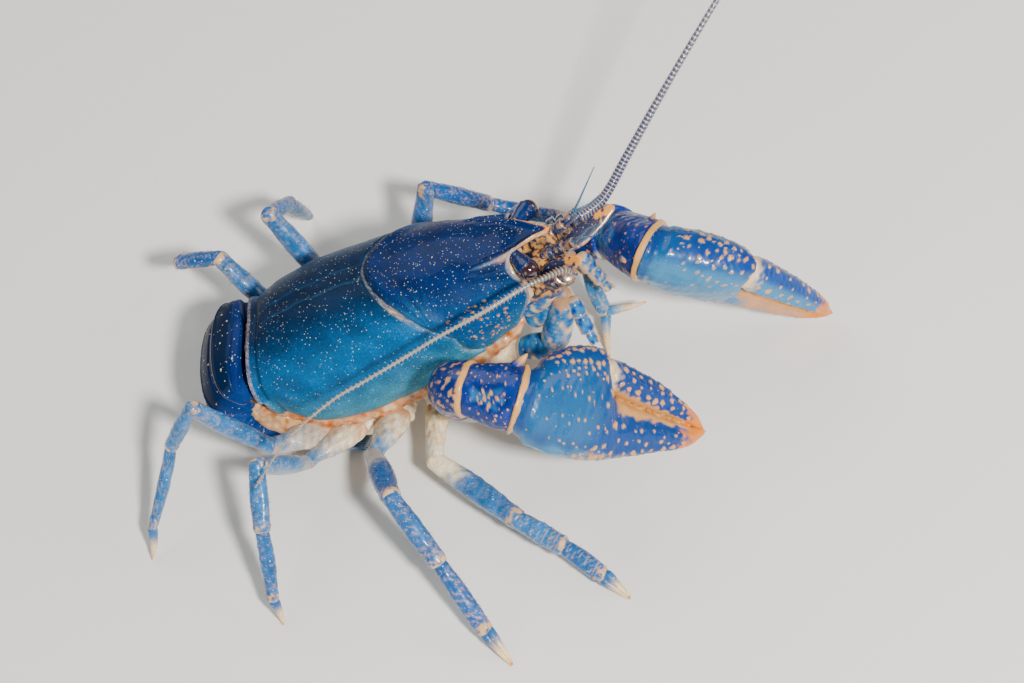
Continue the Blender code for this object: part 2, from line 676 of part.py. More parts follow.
def make_antennule(side, finish):
    """Short feeler below the rostrum."""
    outward = -1.0 if side == "right" else 1.0
    knots = ((33.4, 1.3 * outward, -3.5), (35.6, 1.5 * outward, -3.2), (38.0, 2.2 * outward, -2.0),
             (40.4, 3.2 * outward, -0.2))
    taper("antennule_" + side, smooth_route(knots, 5), (0.85, 0.8, 0.62, 0.45, 0.34, 0.26), 8,
          finish["antenna"])


# Outer mouth limbs: root, bend and end of the blade, then the palp's two ends
JAW_LIMBS = {
    "right": ((25.4, -3.1, -13.4), (29.2, -4.0, -13.9), (32.6, -2.9, -9.2),
              (33.9, -3.2, -9.8), (34.0, -5.3, -14.4)),
    "left": ((25.4, 3.1, -13.4), (30.0, 3.0, -11.2), (33.6, 2.9, -9.6),
             (34.7, 2.7, -9.6), (35.2, 2.2, -15.0)),
}
JAW_BLADE = ((0.0, 1.0, 0.7), (0.25, 1.4, 0.9), (0.5, 1.5, 1.0), (0.75, 1.4, 0.9), (1.0, 0.9, 0.7))
JAW_PALP = ((0.0, 0.75), (0.3, 0.85), (0.7, 0.7), (1.0, 0.3))
JAW_SIDES = 12


def make_jaw_leg(side, finish):
    """Outer mouth limb: a broad blade that folds up to the mouth, and its hanging palp."""
    root, bend, end, palp_top, palp_tip = (Vector(knot) for knot in JAW_LIMBS[side])
    blade = []
    for t, half, thick in JAW_BLADE:
        centre = root.lerp(bend, 2.0 * t) if t < 0.5 else bend.lerp(end, 2.0 * t - 1.0)
        way = (end - root) if t == 0.5 else (bend - root) if t < 0.5 else (end - bend)
        across = Vector((0.0, 1.0, 0.0))
        across = (across - way * (across.dot(way) / way.length_squared)).normalized()
        blade.append(oval(world(centre), TILT @ across, TILT @ across.cross(way).normalized(),
                          half, thick, JAW_SIDES))
    way = palp_tip - palp_top
    across = Vector((0.0, 1.0, 0.0))
    across = (across - way * (across.dot(way) / way.length_squared)).normalized()
    palp = [oval(world(palp_top + way * t), TILT @ across, TILT @ across.cross(way).normalized(),
                 radius, radius, JAW_SIDES) for t, radius in JAW_PALP]
    solid("jaw_leg_" + side, blade, finish["mouth"])
    solid("jaw_palp_" + side, palp, finish["mouth"])


def main():
    """Clear the scene and build every node."""
    for old in list(bpy.data.objects):
        bpy.data.objects.remove(old, do_unlink=True)
    finish = finishes()
    make_thorax(finish)
    make_head(finish)
    make_face(finish)
    make_sternum(finish)
    make_tail(finish)
    make_tail_fan(finish)
    for name, (root, stretches) in LEGS.items():
        make_leg(name, root, stretches, finish)
    for side, (root, stretches) in CLAW_ARMS.items():
        make_claw(side, root, stretches, finish)
    for side in ("right", "left"):
        make_eye(side, finish)
        make_feeler(side, finish)
        make_antennule(side, finish)
        make_jaw_leg(side, finish)


main()
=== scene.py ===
"""Blue burrowing crayfish: the finished surfaces, floor, light and camera.

Sizes in the modelling functions are millimetres. The body frame has x forward along
the back, y to the animal's left and z up from the middle of the shell's hind margin.
"""
import math

import bmesh
import bpy
import numpy as np
from mathutils import Matrix, Vector

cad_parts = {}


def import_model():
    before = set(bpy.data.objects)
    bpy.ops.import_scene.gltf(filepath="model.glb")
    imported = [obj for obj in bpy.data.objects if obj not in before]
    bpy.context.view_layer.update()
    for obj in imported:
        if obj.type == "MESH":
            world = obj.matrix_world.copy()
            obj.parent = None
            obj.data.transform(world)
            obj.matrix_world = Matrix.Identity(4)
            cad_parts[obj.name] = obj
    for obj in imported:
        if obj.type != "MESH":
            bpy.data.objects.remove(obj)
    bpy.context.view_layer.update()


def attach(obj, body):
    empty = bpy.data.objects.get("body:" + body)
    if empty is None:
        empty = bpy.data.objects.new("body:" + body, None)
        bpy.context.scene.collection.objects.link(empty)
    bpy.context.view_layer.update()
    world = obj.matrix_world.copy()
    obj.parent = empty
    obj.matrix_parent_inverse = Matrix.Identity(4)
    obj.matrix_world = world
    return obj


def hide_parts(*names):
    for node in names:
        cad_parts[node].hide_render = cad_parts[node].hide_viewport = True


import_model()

bl_info = {
    "name": "Blue crayfish model",
    "version": (1, 0, 0),
    "blender": (4, 5, 0),
    "location": "3D View > Sidebar > Crayfish",
    "description": "Builds a life-size blue burrowing crayfish around its solids",
    "category": "Object",
}

MM = 0.001
FOOTPRINT_CENTRE = np.array((25.31, -1.45, 0.0))
BODY_PITCH = 14.9
BODY_ROLL = 6.2
BODY_LIFT = 15.3
SIDES = {"right": -1.0, "left": 1.0}
WELD_DISTANCE = 2e-7
FLOOR_CLEARANCE = 0.03
BRISTLE_RADIUS = 0.035
LEG_SPACING = 4.2
AHEAD, LEFTWARD, UPWARD = np.eye(3)
WARM = np.array((1.15, 0.8, 0.55))


# Settings a user would change
def tint(name, description, colour):
    """Return a colour setting whose default is given in screen values from 0 to 255."""
    linear = tuple(((c / 255 + 0.055) / 1.055) ** 2.4 if c > 10 else c / 255 / 12.92 for c in colour)
    return bpy.props.FloatVectorProperty(name=name, description=description, subtype="COLOR", size=3,
                                         min=0.0, max=1.0, default=linear)


def size(name, description, value, low, high):
    """Return a size setting in metres, given in millimetres."""
    return bpy.props.FloatProperty(name=name, description=description, unit="LENGTH", precision=5,
                                   default=value * MM, min=low * MM, max=high * MM)


class CrayfishSizes(bpy.types.PropertyGroup):
    """Sizes of the finer forms."""
    shell_wall: size("Shell wall", "Thickness of the shell plate", 0.45, 0.2, 1.0)
    groove_depth: size("Groove depth", "Depth of the neck groove", 0.32, 0.0, 1.0)
    spot_height: size("Spot height", "How far the claw tubercles stand up", 0.09, 0.0, 0.5)
    bristle: size("Bristle", "Length of the longest bristles", 1.1, 0.2, 3.0)
    ring_pitch: size("Feeler rings", "Length of one ring of the feelers", 0.5, 0.2, 2.0)


class CrayfishColours(bpy.types.PropertyGroup):
    """Colours of the shell."""
    navy: tint("Navy", "Darkest shell, along the back", (0, 24, 54))
    head: tint("Head blue", "Deep blue of the head", (0, 34, 96))
    sea: tint("Sea blue", "Flanks of the shell", (2, 76, 124))
    teal: tint("Teal", "Lower flanks", (46, 118, 142))
    royal: tint("Royal", "Wrist and arm", (0, 42, 122))
    cobalt: tint("Cobalt", "Fingers", (0, 76, 166))
    azure: tint("Azure", "Palm and legs", (0, 74, 142))
    sky: tint("Sky", "Pale undersides of palm and legs", (60, 132, 174))
    cream: tint("Cream", "Spots, rims and joints", (206, 150, 78))
    white: tint("White", "Leg roots", (228, 211, 174))
    tan: tint("Tan", "Skin between the plates", (176, 118, 62))
    orange: tint("Orange", "Finger tips", (222, 126, 0))
    slate: tint("Slate", "Feelers", (20, 28, 48))
    eye: tint("Eye", "Corneas", (30, 10, 16))


class CrayfishStage(bpy.types.PropertyGroup):
    """Floor and camera."""
    floor: tint("Floor", "Colour of the plain floor", (228, 226, 221))
    lens: bpy.props.FloatProperty(name="Lens", description="Focal length in millimetres",
                                  default=130.0, min=20.0, max=300.0)


def sizes():
    """Return the size settings."""
    return bpy.context.scene.crayfish_sizes


def shade(name):
    """Return one colour setting as an array."""
    return np.array(getattr(bpy.context.scene.crayfish_colours, name))


# Numeric tools
def turn(axis, degrees):
    """Return a rotation matrix about a body axis."""
    return np.array(Matrix.Rotation(math.radians(degrees), 3, axis))


TILT = turn("Y", -BODY_PITCH) @ turn("X", -BODY_ROLL)


def world(points):
    """Turn body-frame points into floor-frame points."""
    return np.asarray(points, float) @ TILT.T + np.array((0.0, 0.0, BODY_LIFT))


def tilted(direction):
    """Turn a body-frame direction into a unit vector of the floor frame."""
    return TILT @ unit(np.asarray(direction, float))


def unit(vectors):
    """Scale vectors to length one."""
    vectors = np.asarray(vectors, float)
    return vectors / np.maximum(np.linalg.norm(vectors, axis=-1, keepdims=True), 1e-9)


def dot(a, b):
    """Return dot products along the last axis."""
    return np.sum(a * b, axis=-1)


def square_to(vector, axis):
    """Return the unit part of a vector that is square to an axis."""
    return unit(vector - axis * np.sum(vector * axis, axis=-1, keepdims=True))


def curve(knots, values, x):
    """Read a smooth curve through a few stations."""
    knots, values, x = np.asarray(knots, float), np.asarray(values, float), np.asarray(x, float)
    i = np.clip(np.searchsorted(knots, x, side="left") - 1, 0, len(knots) - 2)
    t = np.clip((x - knots[i]) / (knots[i + 1] - knots[i]), 0.0, 1.0)
    if values.ndim > 1:
        t = t[..., None]
    a, b = values[i], values[i + 1]
    before, after = values[np.maximum(i - 1, 0)], values[np.minimum(i + 2, len(values) - 1)]
    return 0.5 * (2 * a + (b - before) * t + (2 * before - 5 * a + 4 * b - after) * t * t
                  + (3 * a - before - 3 * b + after) * t ** 3)


def ease(low, high, x):
    """Return a smooth step from 0 at low to 1 at high."""
    t = np.clip((np.asarray(x, float) - low) / (high - low), 0.0, 1.0)
    return t * t * (3 - 2 * t)


def bump(x, width):
    """Return a bell curve of a distance."""
    return np.exp(-(np.asarray(x, float) / width) ** 2)


def power(value, exponent):
    """Raise signed numbers to a power and keep the sign."""
    return np.sign(value) * np.abs(value) ** exponent


def mix(a, b, share):
    """Blend colours or numbers by a share from 0 to 1."""
    share = np.asarray(share, float)
    if np.ndim(a) and np.shape(a)[-1] == 3:
        share = share[..., None]
    return a + (b - a) * share


def heading(azimuth, elevation):
    """Return the unit vector of a compass angle from +X and a climb angle."""
    az, el = math.radians(azimuth), math.radians(elevation)
    return np.array((math.cos(el) * math.cos(az), math.cos(el) * math.sin(az), math.sin(el)))


def uneven(points, pitch, seed):
    """Return a smooth uneven field between about -1 and 1 over points."""
    rng = np.random.default_rng(seed)
    field = 0.0
    for k in range(6):
        direction = unit(rng.normal(size=3))
        field = field + np.sin(points @ direction * (2 * math.pi / (pitch * (0.6 + 0.16 * k)))
                               + rng.uniform(0, 6.28))
    return field / 2.6


def grid_normals(points, outward_hint):
    """Return unit normals of a grid of points on the side of the hint vectors."""
    along = np.gradient(points, axis=0)
    around = np.gradient(points, axis=1)
    normal = unit(np.cross(around, along))
    return normal * np.sign(dot(normal, outward_hint).mean())


def push(points, way, amount):
    """Move points along a direction by an amount given at each."""
    return points + way * amount[..., None]


# Mesh tools
def sheet(points, tone, freckle=0.0, wet=1.0, closed=True):
    """Bend one plain grid onto rows and columns of floor-frame points.

    A closed sheet has its first and last rows drawn in to a point, and its first and last
    columns welded. Tone is the colour, freckle the share of cream dots and wet the share
    of gloss at each point.
    """
    rows, columns = points.shape[:2]
    bm = bmesh.new()
    bmesh.ops.create_grid(bm, x_segments=columns - 1, y_segments=rows - 1, size=1.0)
    tone_layer = bm.verts.layers.float_color.new("tone")
    freckle_layer = bm.verts.layers.float.new("freckle")
    wet_layer = bm.verts.layers.float.new("wet")
    spots = (points - FOOTPRINT_CENTRE) * MM
    if closed:
        for end in (0, -1):
            spots[end] = spots[end, :-1].mean(axis=0)
    tone = np.clip(np.broadcast_to(tone, points.shape), 0.0, 1.0)
    freckle = np.broadcast_to(freckle, points.shape[:2])
    wet = np.broadcast_to(wet, points.shape[:2])
    for vert in bm.verts:
        column = round((vert.co.x + 1.0) * 0.5 * (columns - 1))
        row = round((vert.co.y + 1.0) * 0.5 * (rows - 1))
        vert[tone_layer] = (*tone[row, column], 1.0)
        vert[freckle_layer] = freckle[row, column]
        vert[wet_layer] = wet[row, column]
        vert.co = spots[row, column]
    if closed:
        bmesh.ops.remove_doubles(bm, verts=bm.verts, dist=WELD_DISTANCE)
    bmesh.ops.recalc_face_normals(bm, faces=bm.faces)
    return bm


def merge(parts):
    """Join several bmeshes into one."""
    whole = parts[0]
    for part in parts[1:]:
        scrap = bpy.data.meshes.new("part")
        part.to_mesh(scrap)
        part.free()
        whole.from_mesh(scrap)
        bpy.data.meshes.remove(scrap)
    return whole


def finish_piece(name, bm, finish, nodes=()):
    """Turn a bmesh into a piece that rides on the body and stands for its nodes."""
    mesh = bpy.data.meshes.new(name)
    bm.to_mesh(mesh)
    bm.free()
    mesh.shade_smooth()
    mesh.materials.append(finish)
    piece = bpy.data.objects.new(name, mesh)
    bpy.context.scene.collection.objects.link(piece)
    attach(piece, "root")
    if nodes:
        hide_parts(*nodes)
    return piece


def nearest(values, value):
    """Return the place of the number in a list that lies nearest to a value."""
    return int(np.argmin(np.abs(values - value)))


def ring_angles(columns):
    """Return angles once round, the last equal to the first."""
    angle = np.linspace(0.0, 2 * math.pi, columns + 1)
    angle[-1] = 0.0
    return angle


def tube(centres, across, upward, half_across, half_up, columns, exponent=2.0):
    """Return rows of closed superelliptic rings."""
    angle = ring_angles(columns)
    c = power(np.cos(angle), 2 / exponent)
    s = power(np.sin(angle), 2 / exponent)
    half_across = np.broadcast_to(half_across, len(centres)).astype(float)
    half_up = np.broadcast_to(half_up, len(centres)).astype(float)
    across = np.broadcast_to(across, centres.shape)
    upward = np.broadcast_to(upward, centres.shape)
    return (centres[:, None, :] + across[:, None, :] * (half_across[:, None] * c)[..., None]
            + upward[:, None, :] * (half_up[:, None] * s)[..., None])


def rounded_stations(length, first, last, rows, cap_rows=7):
    """Return places along a body with round ends, and the share of its full girth there.

    first and last are how far the round ends bulge past the body.
    """
    quarter = np.linspace(0.0, 0.5 * math.pi, cap_rows)
    middle = np.linspace(0.0, 1.0, rows)
    middle = length * mix(middle, 0.5 - 0.5 * np.cos(math.pi * middle), 0.45)
    place = np.concatenate([-first * np.cos(quarter[:-1]), middle,
                            length + last * np.sin(quarter[1:])])
    girth = np.concatenate([np.sin(quarter[:-1]), np.ones(rows), np.cos(quarter[1:])])
    return place, np.maximum(girth, 0.0)


def round_ends(t, share):
    """Return the girth along a body whose ends are rounded over a share of its length."""
    end = np.minimum(t, 1 - t) / share
    return np.where(end < 1, np.sqrt(np.clip(1 - (1 - end) ** 2, 0, 1)), 1.0)


def painted(points, normal, t, paint, wet=1.0):
    """Return a closed sheet whose colours come from a paint."""
    tone, freckle = paint(t[:, None], normal[..., 2], points)
    return sheet(points, tone, freckle, wet)


def raise_spots(points, normal, spots, height):
    """Raise round tubercles on a grid of points and return where they are as a mask."""
    mask = np.zeros(points.shape[:2])
    ragged = 1.0 + 0.22 * uneven(points, 0.45, 29)
    for row, column, radius in spots:
        distance = np.linalg.norm(points - points[row, column], axis=-1) * ragged
        mask = np.maximum(mask, 1.0 - ease(0.75 * radius, 1.2 * radius, distance))
    return push(points, normal, mask * height), mask


def bristle_tuft(roots, directions, length, colour, seed, spread=0.35, radius=BRISTLE_RADIUS):
    """Return a tuft of slim pointed bristles of one colour standing on roots."""
    rng = np.random.default_rng(seed)
    bm = bmesh.new()
    tone_layer = bm.verts.layers.float_color.new("tone")
    for root, direction in zip(roots, directions):
        way = unit(direction + rng.normal(size=3) * spread)
        long = length * rng.uniform(0.55, 1.0)
        place = (root - FOOTPRINT_CENTRE + way * long * 0.5) * MM
        matrix = Matrix.Translation(place) @ Vector(UPWARD).rotation_difference(
            Vector(way)).to_matrix().to_4x4()
        bmesh.ops.create_cone(bm, cap_ends=True, segments=4, radius1=radius * MM, radius2=0.0,
                              depth=long * MM, matrix=matrix)
    for vert in bm.verts:
        vert[tone_layer] = (*shade(colour), 1.0)
    return bm


# Finishes
def feed(tree, node, inputs):
    """Set a node's inputs, given by name or place, to values or to other nodes' sockets."""
    for key, value in inputs.items():
        if isinstance(value, bpy.types.NodeSocket):
            tree.links.new(value, node.inputs[key])
        else:
            node.inputs[key].default_value = value


def add_node(tree, kind, inputs, **settings):
    """Add a shader node with its settings and inputs, and return its outputs."""
    node = tree.nodes.new("ShaderNode" + kind)
    for name, value in settings.items():
        setattr(node, name, value)
    feed(tree, node, inputs)
    return node.outputs


def new_material(name):
    """Return a new material, its node tree and its Principled shader."""
    finish = bpy.data.materials.new(name)
    finish.use_nodes = True
    return finish, finish.node_tree, finish.node_tree.nodes["Principled BSDF"]


GRAIN_INPUTS = {"Tone": "Color", "Freckle": "Float", "Dot Colour": "Color", "Dot Pitch": "Float",
                "Dot Size": "Float", "Clouds": "Float", "Grain": "Float", "Roughness": "Float"}
GRAIN_OUTPUTS = {"Colour": "Color", "Roughness": "Float", "Height": "Float"}
CLOUD_SCALE, FINE_SCALE, PORE_SCALE = 420.0, 3600.0, 9000.0
SMALL_DOTS_TO_DOTS = 2.3
RELIEF_DEPTH = 0.06


def shell_grain():
    """Build or return the shared group that gives shell its clouds, dots, gloss and relief."""
    group = bpy.data.node_groups.get("shell_grain")
    if group:
        return group
    group = bpy.data.node_groups.new("shell_grain", "ShaderNodeTree")
    for way, sockets in (("INPUT", GRAIN_INPUTS), ("OUTPUT", GRAIN_OUTPUTS)):
        for label, kind in sockets.items():
            group.interface.new_socket(label, in_out=way, socket_type="NodeSocket" + kind)
    given = group.nodes.new("NodeGroupInput").outputs
    place = add_node(group, "TexCoord", {})["Object"]

    def noise(scale, detail, roughness):
        return add_node(group, "TexNoise", {"Vector": place, "Scale": scale, "Detail": detail,
                                            "Roughness": roughness})["Fac"]

    def maths(operation, *values):
        return add_node(group, "Math", dict(enumerate(values)), operation=operation)[0]

    def cells(scale):
        """Return cell distances and each cell's two chance numbers."""
        pattern = add_node(group, "TexVoronoi", {"Vector": place, "Scale": scale})
        luck = add_node(group, "SeparateColor", {0: pattern["Color"]})
        return pattern["Distance"], luck[0], luck[1]

    def centred(texture):
        """Return a texture as a number between about -1 and 1."""
        return maths("MULTIPLY_ADD", texture, 2.0, -1.0)

    cloud, fine, pore = (noise(CLOUD_SCALE, 3.0, 0.55), noise(FINE_SCALE, 4.0, 0.65),
                         noise(PORE_SCALE, 2.0, 0.5))
    distance, chance, girth = cells(given["Dot Pitch"])
    radius = maths("MULTIPLY", maths("MULTIPLY_ADD", girth, 0.7, 0.5), given["Dot Size"])
    wobble = maths("SUBTRACT", maths("MULTIPLY_ADD", fine, 0.1, distance), 0.05)
    dots = maths("MULTIPLY", maths("SUBTRACT", 1.4, maths("DIVIDE", wobble, radius)), 2.2)
    dots = maths("MINIMUM", maths("MAXIMUM", dots, 0.0), 1.0)
    dots = maths("MULTIPLY", dots, maths("LESS_THAN", chance, given["Freckle"]))
    distance, chance, girth = cells(maths("MULTIPLY", given["Dot Pitch"], SMALL_DOTS_TO_DOTS))
    specks = maths("MULTIPLY", maths("LESS_THAN", distance, maths("MULTIPLY", girth, 0.3)),
                   maths("LESS_THAN", chance, given["Freckle"]))
    dots = maths("MAXIMUM", maths("MULTIPLY", dots, 0.85), maths("MULTIPLY", specks, 0.5))
    small = centred(fine)
    depth = maths("MULTIPLY", centred(cloud), given["Clouds"])
    depth = maths("ADD", depth, maths("MULTIPLY", small, given["Grain"]))
    depth = maths("ADD", depth, maths("MULTIPLY", centred(pore), given["Grain"]))
    scaled = add_node(group, "VectorMath", {0: given["Tone"], "Scale": maths("POWER", 2.7, depth)},
                      operation="SCALE")
    blend = add_node(group, "Mix", {"Factor": dots, "A": scaled[0], "B": given["Dot Colour"]},
                     data_type="RGBA")
    rough = maths("ADD", maths("MULTIPLY_ADD", small, 0.12, given["Roughness"]),
                  maths("MULTIPLY", dots, 0.12))
    height = maths("ADD", maths("MULTIPLY_ADD", dots, 0.5, maths("MULTIPLY", fine, 0.5)),
                   maths("MULTIPLY", pore, 0.25))
    feed(group, group.nodes.new("NodeGroupOutput"),
         {"Colour": blend["Result"], "Roughness": rough, "Height": height})
    return group


def shell_finish(name, dot="cream", pitch=1100.0, dot_size=0.17, clouds=0.25, grain=0.15,
                 roughness=0.28, coat=0.6, relief=0.25, subsurface=0.0, shine=0.2):
    """Return a glossy shell finish that takes its colours from the piece's own points."""
    if name in bpy.data.materials:
        return bpy.data.materials[name]
    finish, tree, shader = new_material(name)

    def painted_value(attribute):
        return add_node(tree, "Attribute", {}, attribute_name=attribute)

    grain_node = tree.nodes.new("ShaderNodeGroup")
    grain_node.node_tree = shell_grain()
    feed(tree, grain_node, {
        "Tone": painted_value("tone")["Color"], "Freckle": painted_value("freckle")["Fac"],
        "Dot Colour": (*shade(dot), 1.0), "Dot Pitch": pitch, "Dot Size": dot_size,
        "Clouds": clouds, "Grain": grain, "Roughness": roughness})
    normal = add_node(tree, "Bump", {"Strength": relief, "Distance": RELIEF_DEPTH * MM,
                                     "Height": grain_node.outputs["Height"]})
    gloss = add_node(tree, "Math", {0: painted_value("wet")["Fac"], 1: coat}, operation="MULTIPLY")
    feed(tree, shader, {
        "Base Color": grain_node.outputs["Colour"], "Roughness": grain_node.outputs["Roughness"],
        "Normal": normal["Normal"], "Coat Weight": gloss[0], "Coat Roughness": 0.1,
        "Coat IOR": 1.4, "Specular IOR Level": shine})
    if subsurface:
        feed(tree, shader, {"Subsurface Weight": subsurface, "Subsurface Scale": 0.5 * MM})
    return finish


def finish_hairs(name, tuft):
    """Turn a tuft into a piece with the shared bristle finish."""
    hair = shell_finish("bristle", dot="tan", clouds=0.1, grain=0.1, roughness=0.5, coat=0.0)
    finish_piece(name, tuft, hair, ())


# Shell form
STATIONS = (0.0, 3.0, 8.0, 13.9, 18.0, 23.0, 27.0, 29.5, 31.5)
WIDTHS = (0.78, 0.92, 1.0, 0.96, 0.92, 0.83, 0.71, 0.6, 0.5)
TOP_STATIONS = STATIONS + (33.5, 35.0)
TOPS = (0.0, 0.9, 1.7, 1.9, 1.9, 1.4, 0.5, 0.0, -0.45, -0.95, -1.45)
MARGINS = (-10.0, -12.2, -13.0, -12.7, -12.0, -11.1, -9.8, -8.7, -8.0)
SHELL_HALF_WIDTH = 8.55
WIDEST_AT = 0.52
MARGIN_NARROWING = 0.17
BELLY_HOLLOW = 2.4
CHEEK_GRAINS = 150
HIND_SWEEP = 1.3
SHELL_SQUARENESS = 2.25
MIDDLE_STATION = 13.9
GROOVE_TOP = 14.9
SHELL_REACH = 52.0
FRONT_SHARES = (0.0, 0.05, 0.17, 0.25, 0.36, 0.5, 0.57, 0.66, 0.78, 0.88, 0.96, 1.0)
FRONT_PLACES = (35.0, 34.9, 34.3, 33.5, 32.5, 31.3, 30.75, 30.45, 30.4, 30.65, 31.0, 31.0)
RIDGE_STATIONS = (25.5, 27.5, 29.5, 31.2, 32.5, 33.5, 34.3, 35.0)
RIDGE_PLACES = (3.3, 3.0, 2.6, 2.1, 1.5, 1.0, 0.62, 0.1)


def shell_point(x, angle, inset=0.0):
    """Return points of the shell's surface, in the body frame."""
    x, angle = np.broadcast_arrays(np.asarray(x, float), np.asarray(angle, float))
    half = curve(STATIONS, WIDTHS, x) * SHELL_HALF_WIDTH - inset
    top = curve(TOP_STATIONS, TOPS, x) - inset
    margin = curve(STATIONS, MARGINS, x) + inset
    waist = top - WIDEST_AT * (top - margin)
    c, s = np.cos(angle), np.sin(angle)
    y_above = half * power(c, 2 / SHELL_SQUARENESS)
    z_above = waist + (top - waist) * np.abs(s) ** (2 / SHELL_SQUARENESS)
    fall = np.abs(s) ** 0.5
    y_below = half * power(c, 0.5) * (1.0 - MARGIN_NARROWING * fall ** 2)
    edge = half * (1.0 - MARGIN_NARROWING)
    hollow = BELLY_HOLLOW * fall ** 6 * np.maximum(0.0, 1.0 - (y_below / edge) ** 2) ** 0.8
    z_below = waist - (waist - margin) * fall + hollow
    return np.stack([x, np.where(s >= 0, y_above, y_below), np.where(s >= 0, z_above, z_below)], -1)


def groove_station(angle):
    """Return how far forward the neck groove lies at each angle."""
    s = np.sin(angle)
    return (GROOVE_TOP + 7.3 * (1.0 - np.maximum(0.0, s)) ** 0.68
            + 4.6 * np.maximum(0.0, -s) ** 1.5)


def hind_station(angle):
    """Return the hind margin, which sweeps back at the sides."""
    return -HIND_SWEEP * np.abs(np.cos(angle)) ** 1.5 * np.where(np.sin(angle) > 0, 1.0, 0.6)


def front_margin(angle):
    """Return the front margin: rostrum, orbit and cheek."""
    share = np.abs(np.cos(angle)) ** (2 / SHELL_SQUARENESS)
    above = curve(FRONT_SHARES, FRONT_PLACES, share)
    fall = np.abs(np.sin(angle)) ** 0.5
    below = curve((0.0, 0.3, 0.6, 1.0), (31.0, 30.4, 28.8, 26.4), fall)
    return np.where(np.sin(angle) >= 0, above, below)


def shell_angles(count, reach):
    """Spread angles evenly along the shell's girth, from the left margin over the back."""
    dense = np.radians(np.linspace(-reach, 180 + reach, 6001))
    girth = np.linalg.norm(np.diff(shell_point(MIDDLE_STATION, dense), axis=0), axis=1)
    length = np.concatenate([[0.0], np.cumsum(girth)])
    return np.interp(np.linspace(0, length[-1], count), length, dense), length[-1]


def crowd(count, share):
    """Return places from 0 to 1 that crowd together at both ends."""
    u = np.linspace(0.0, 1.0, count)
    return mix(u, 0.5 - 0.5 * np.cos(math.pi * u), share)


def margin_distance(x, front, arc):
    """Return how far each point of the grid lies from the front margin, along the shell."""
    across = arc[:, None] - arc[None, :]
    return np.array([np.hypot(row[:, None] - front[None, :], across).min(axis=1) for row in x])


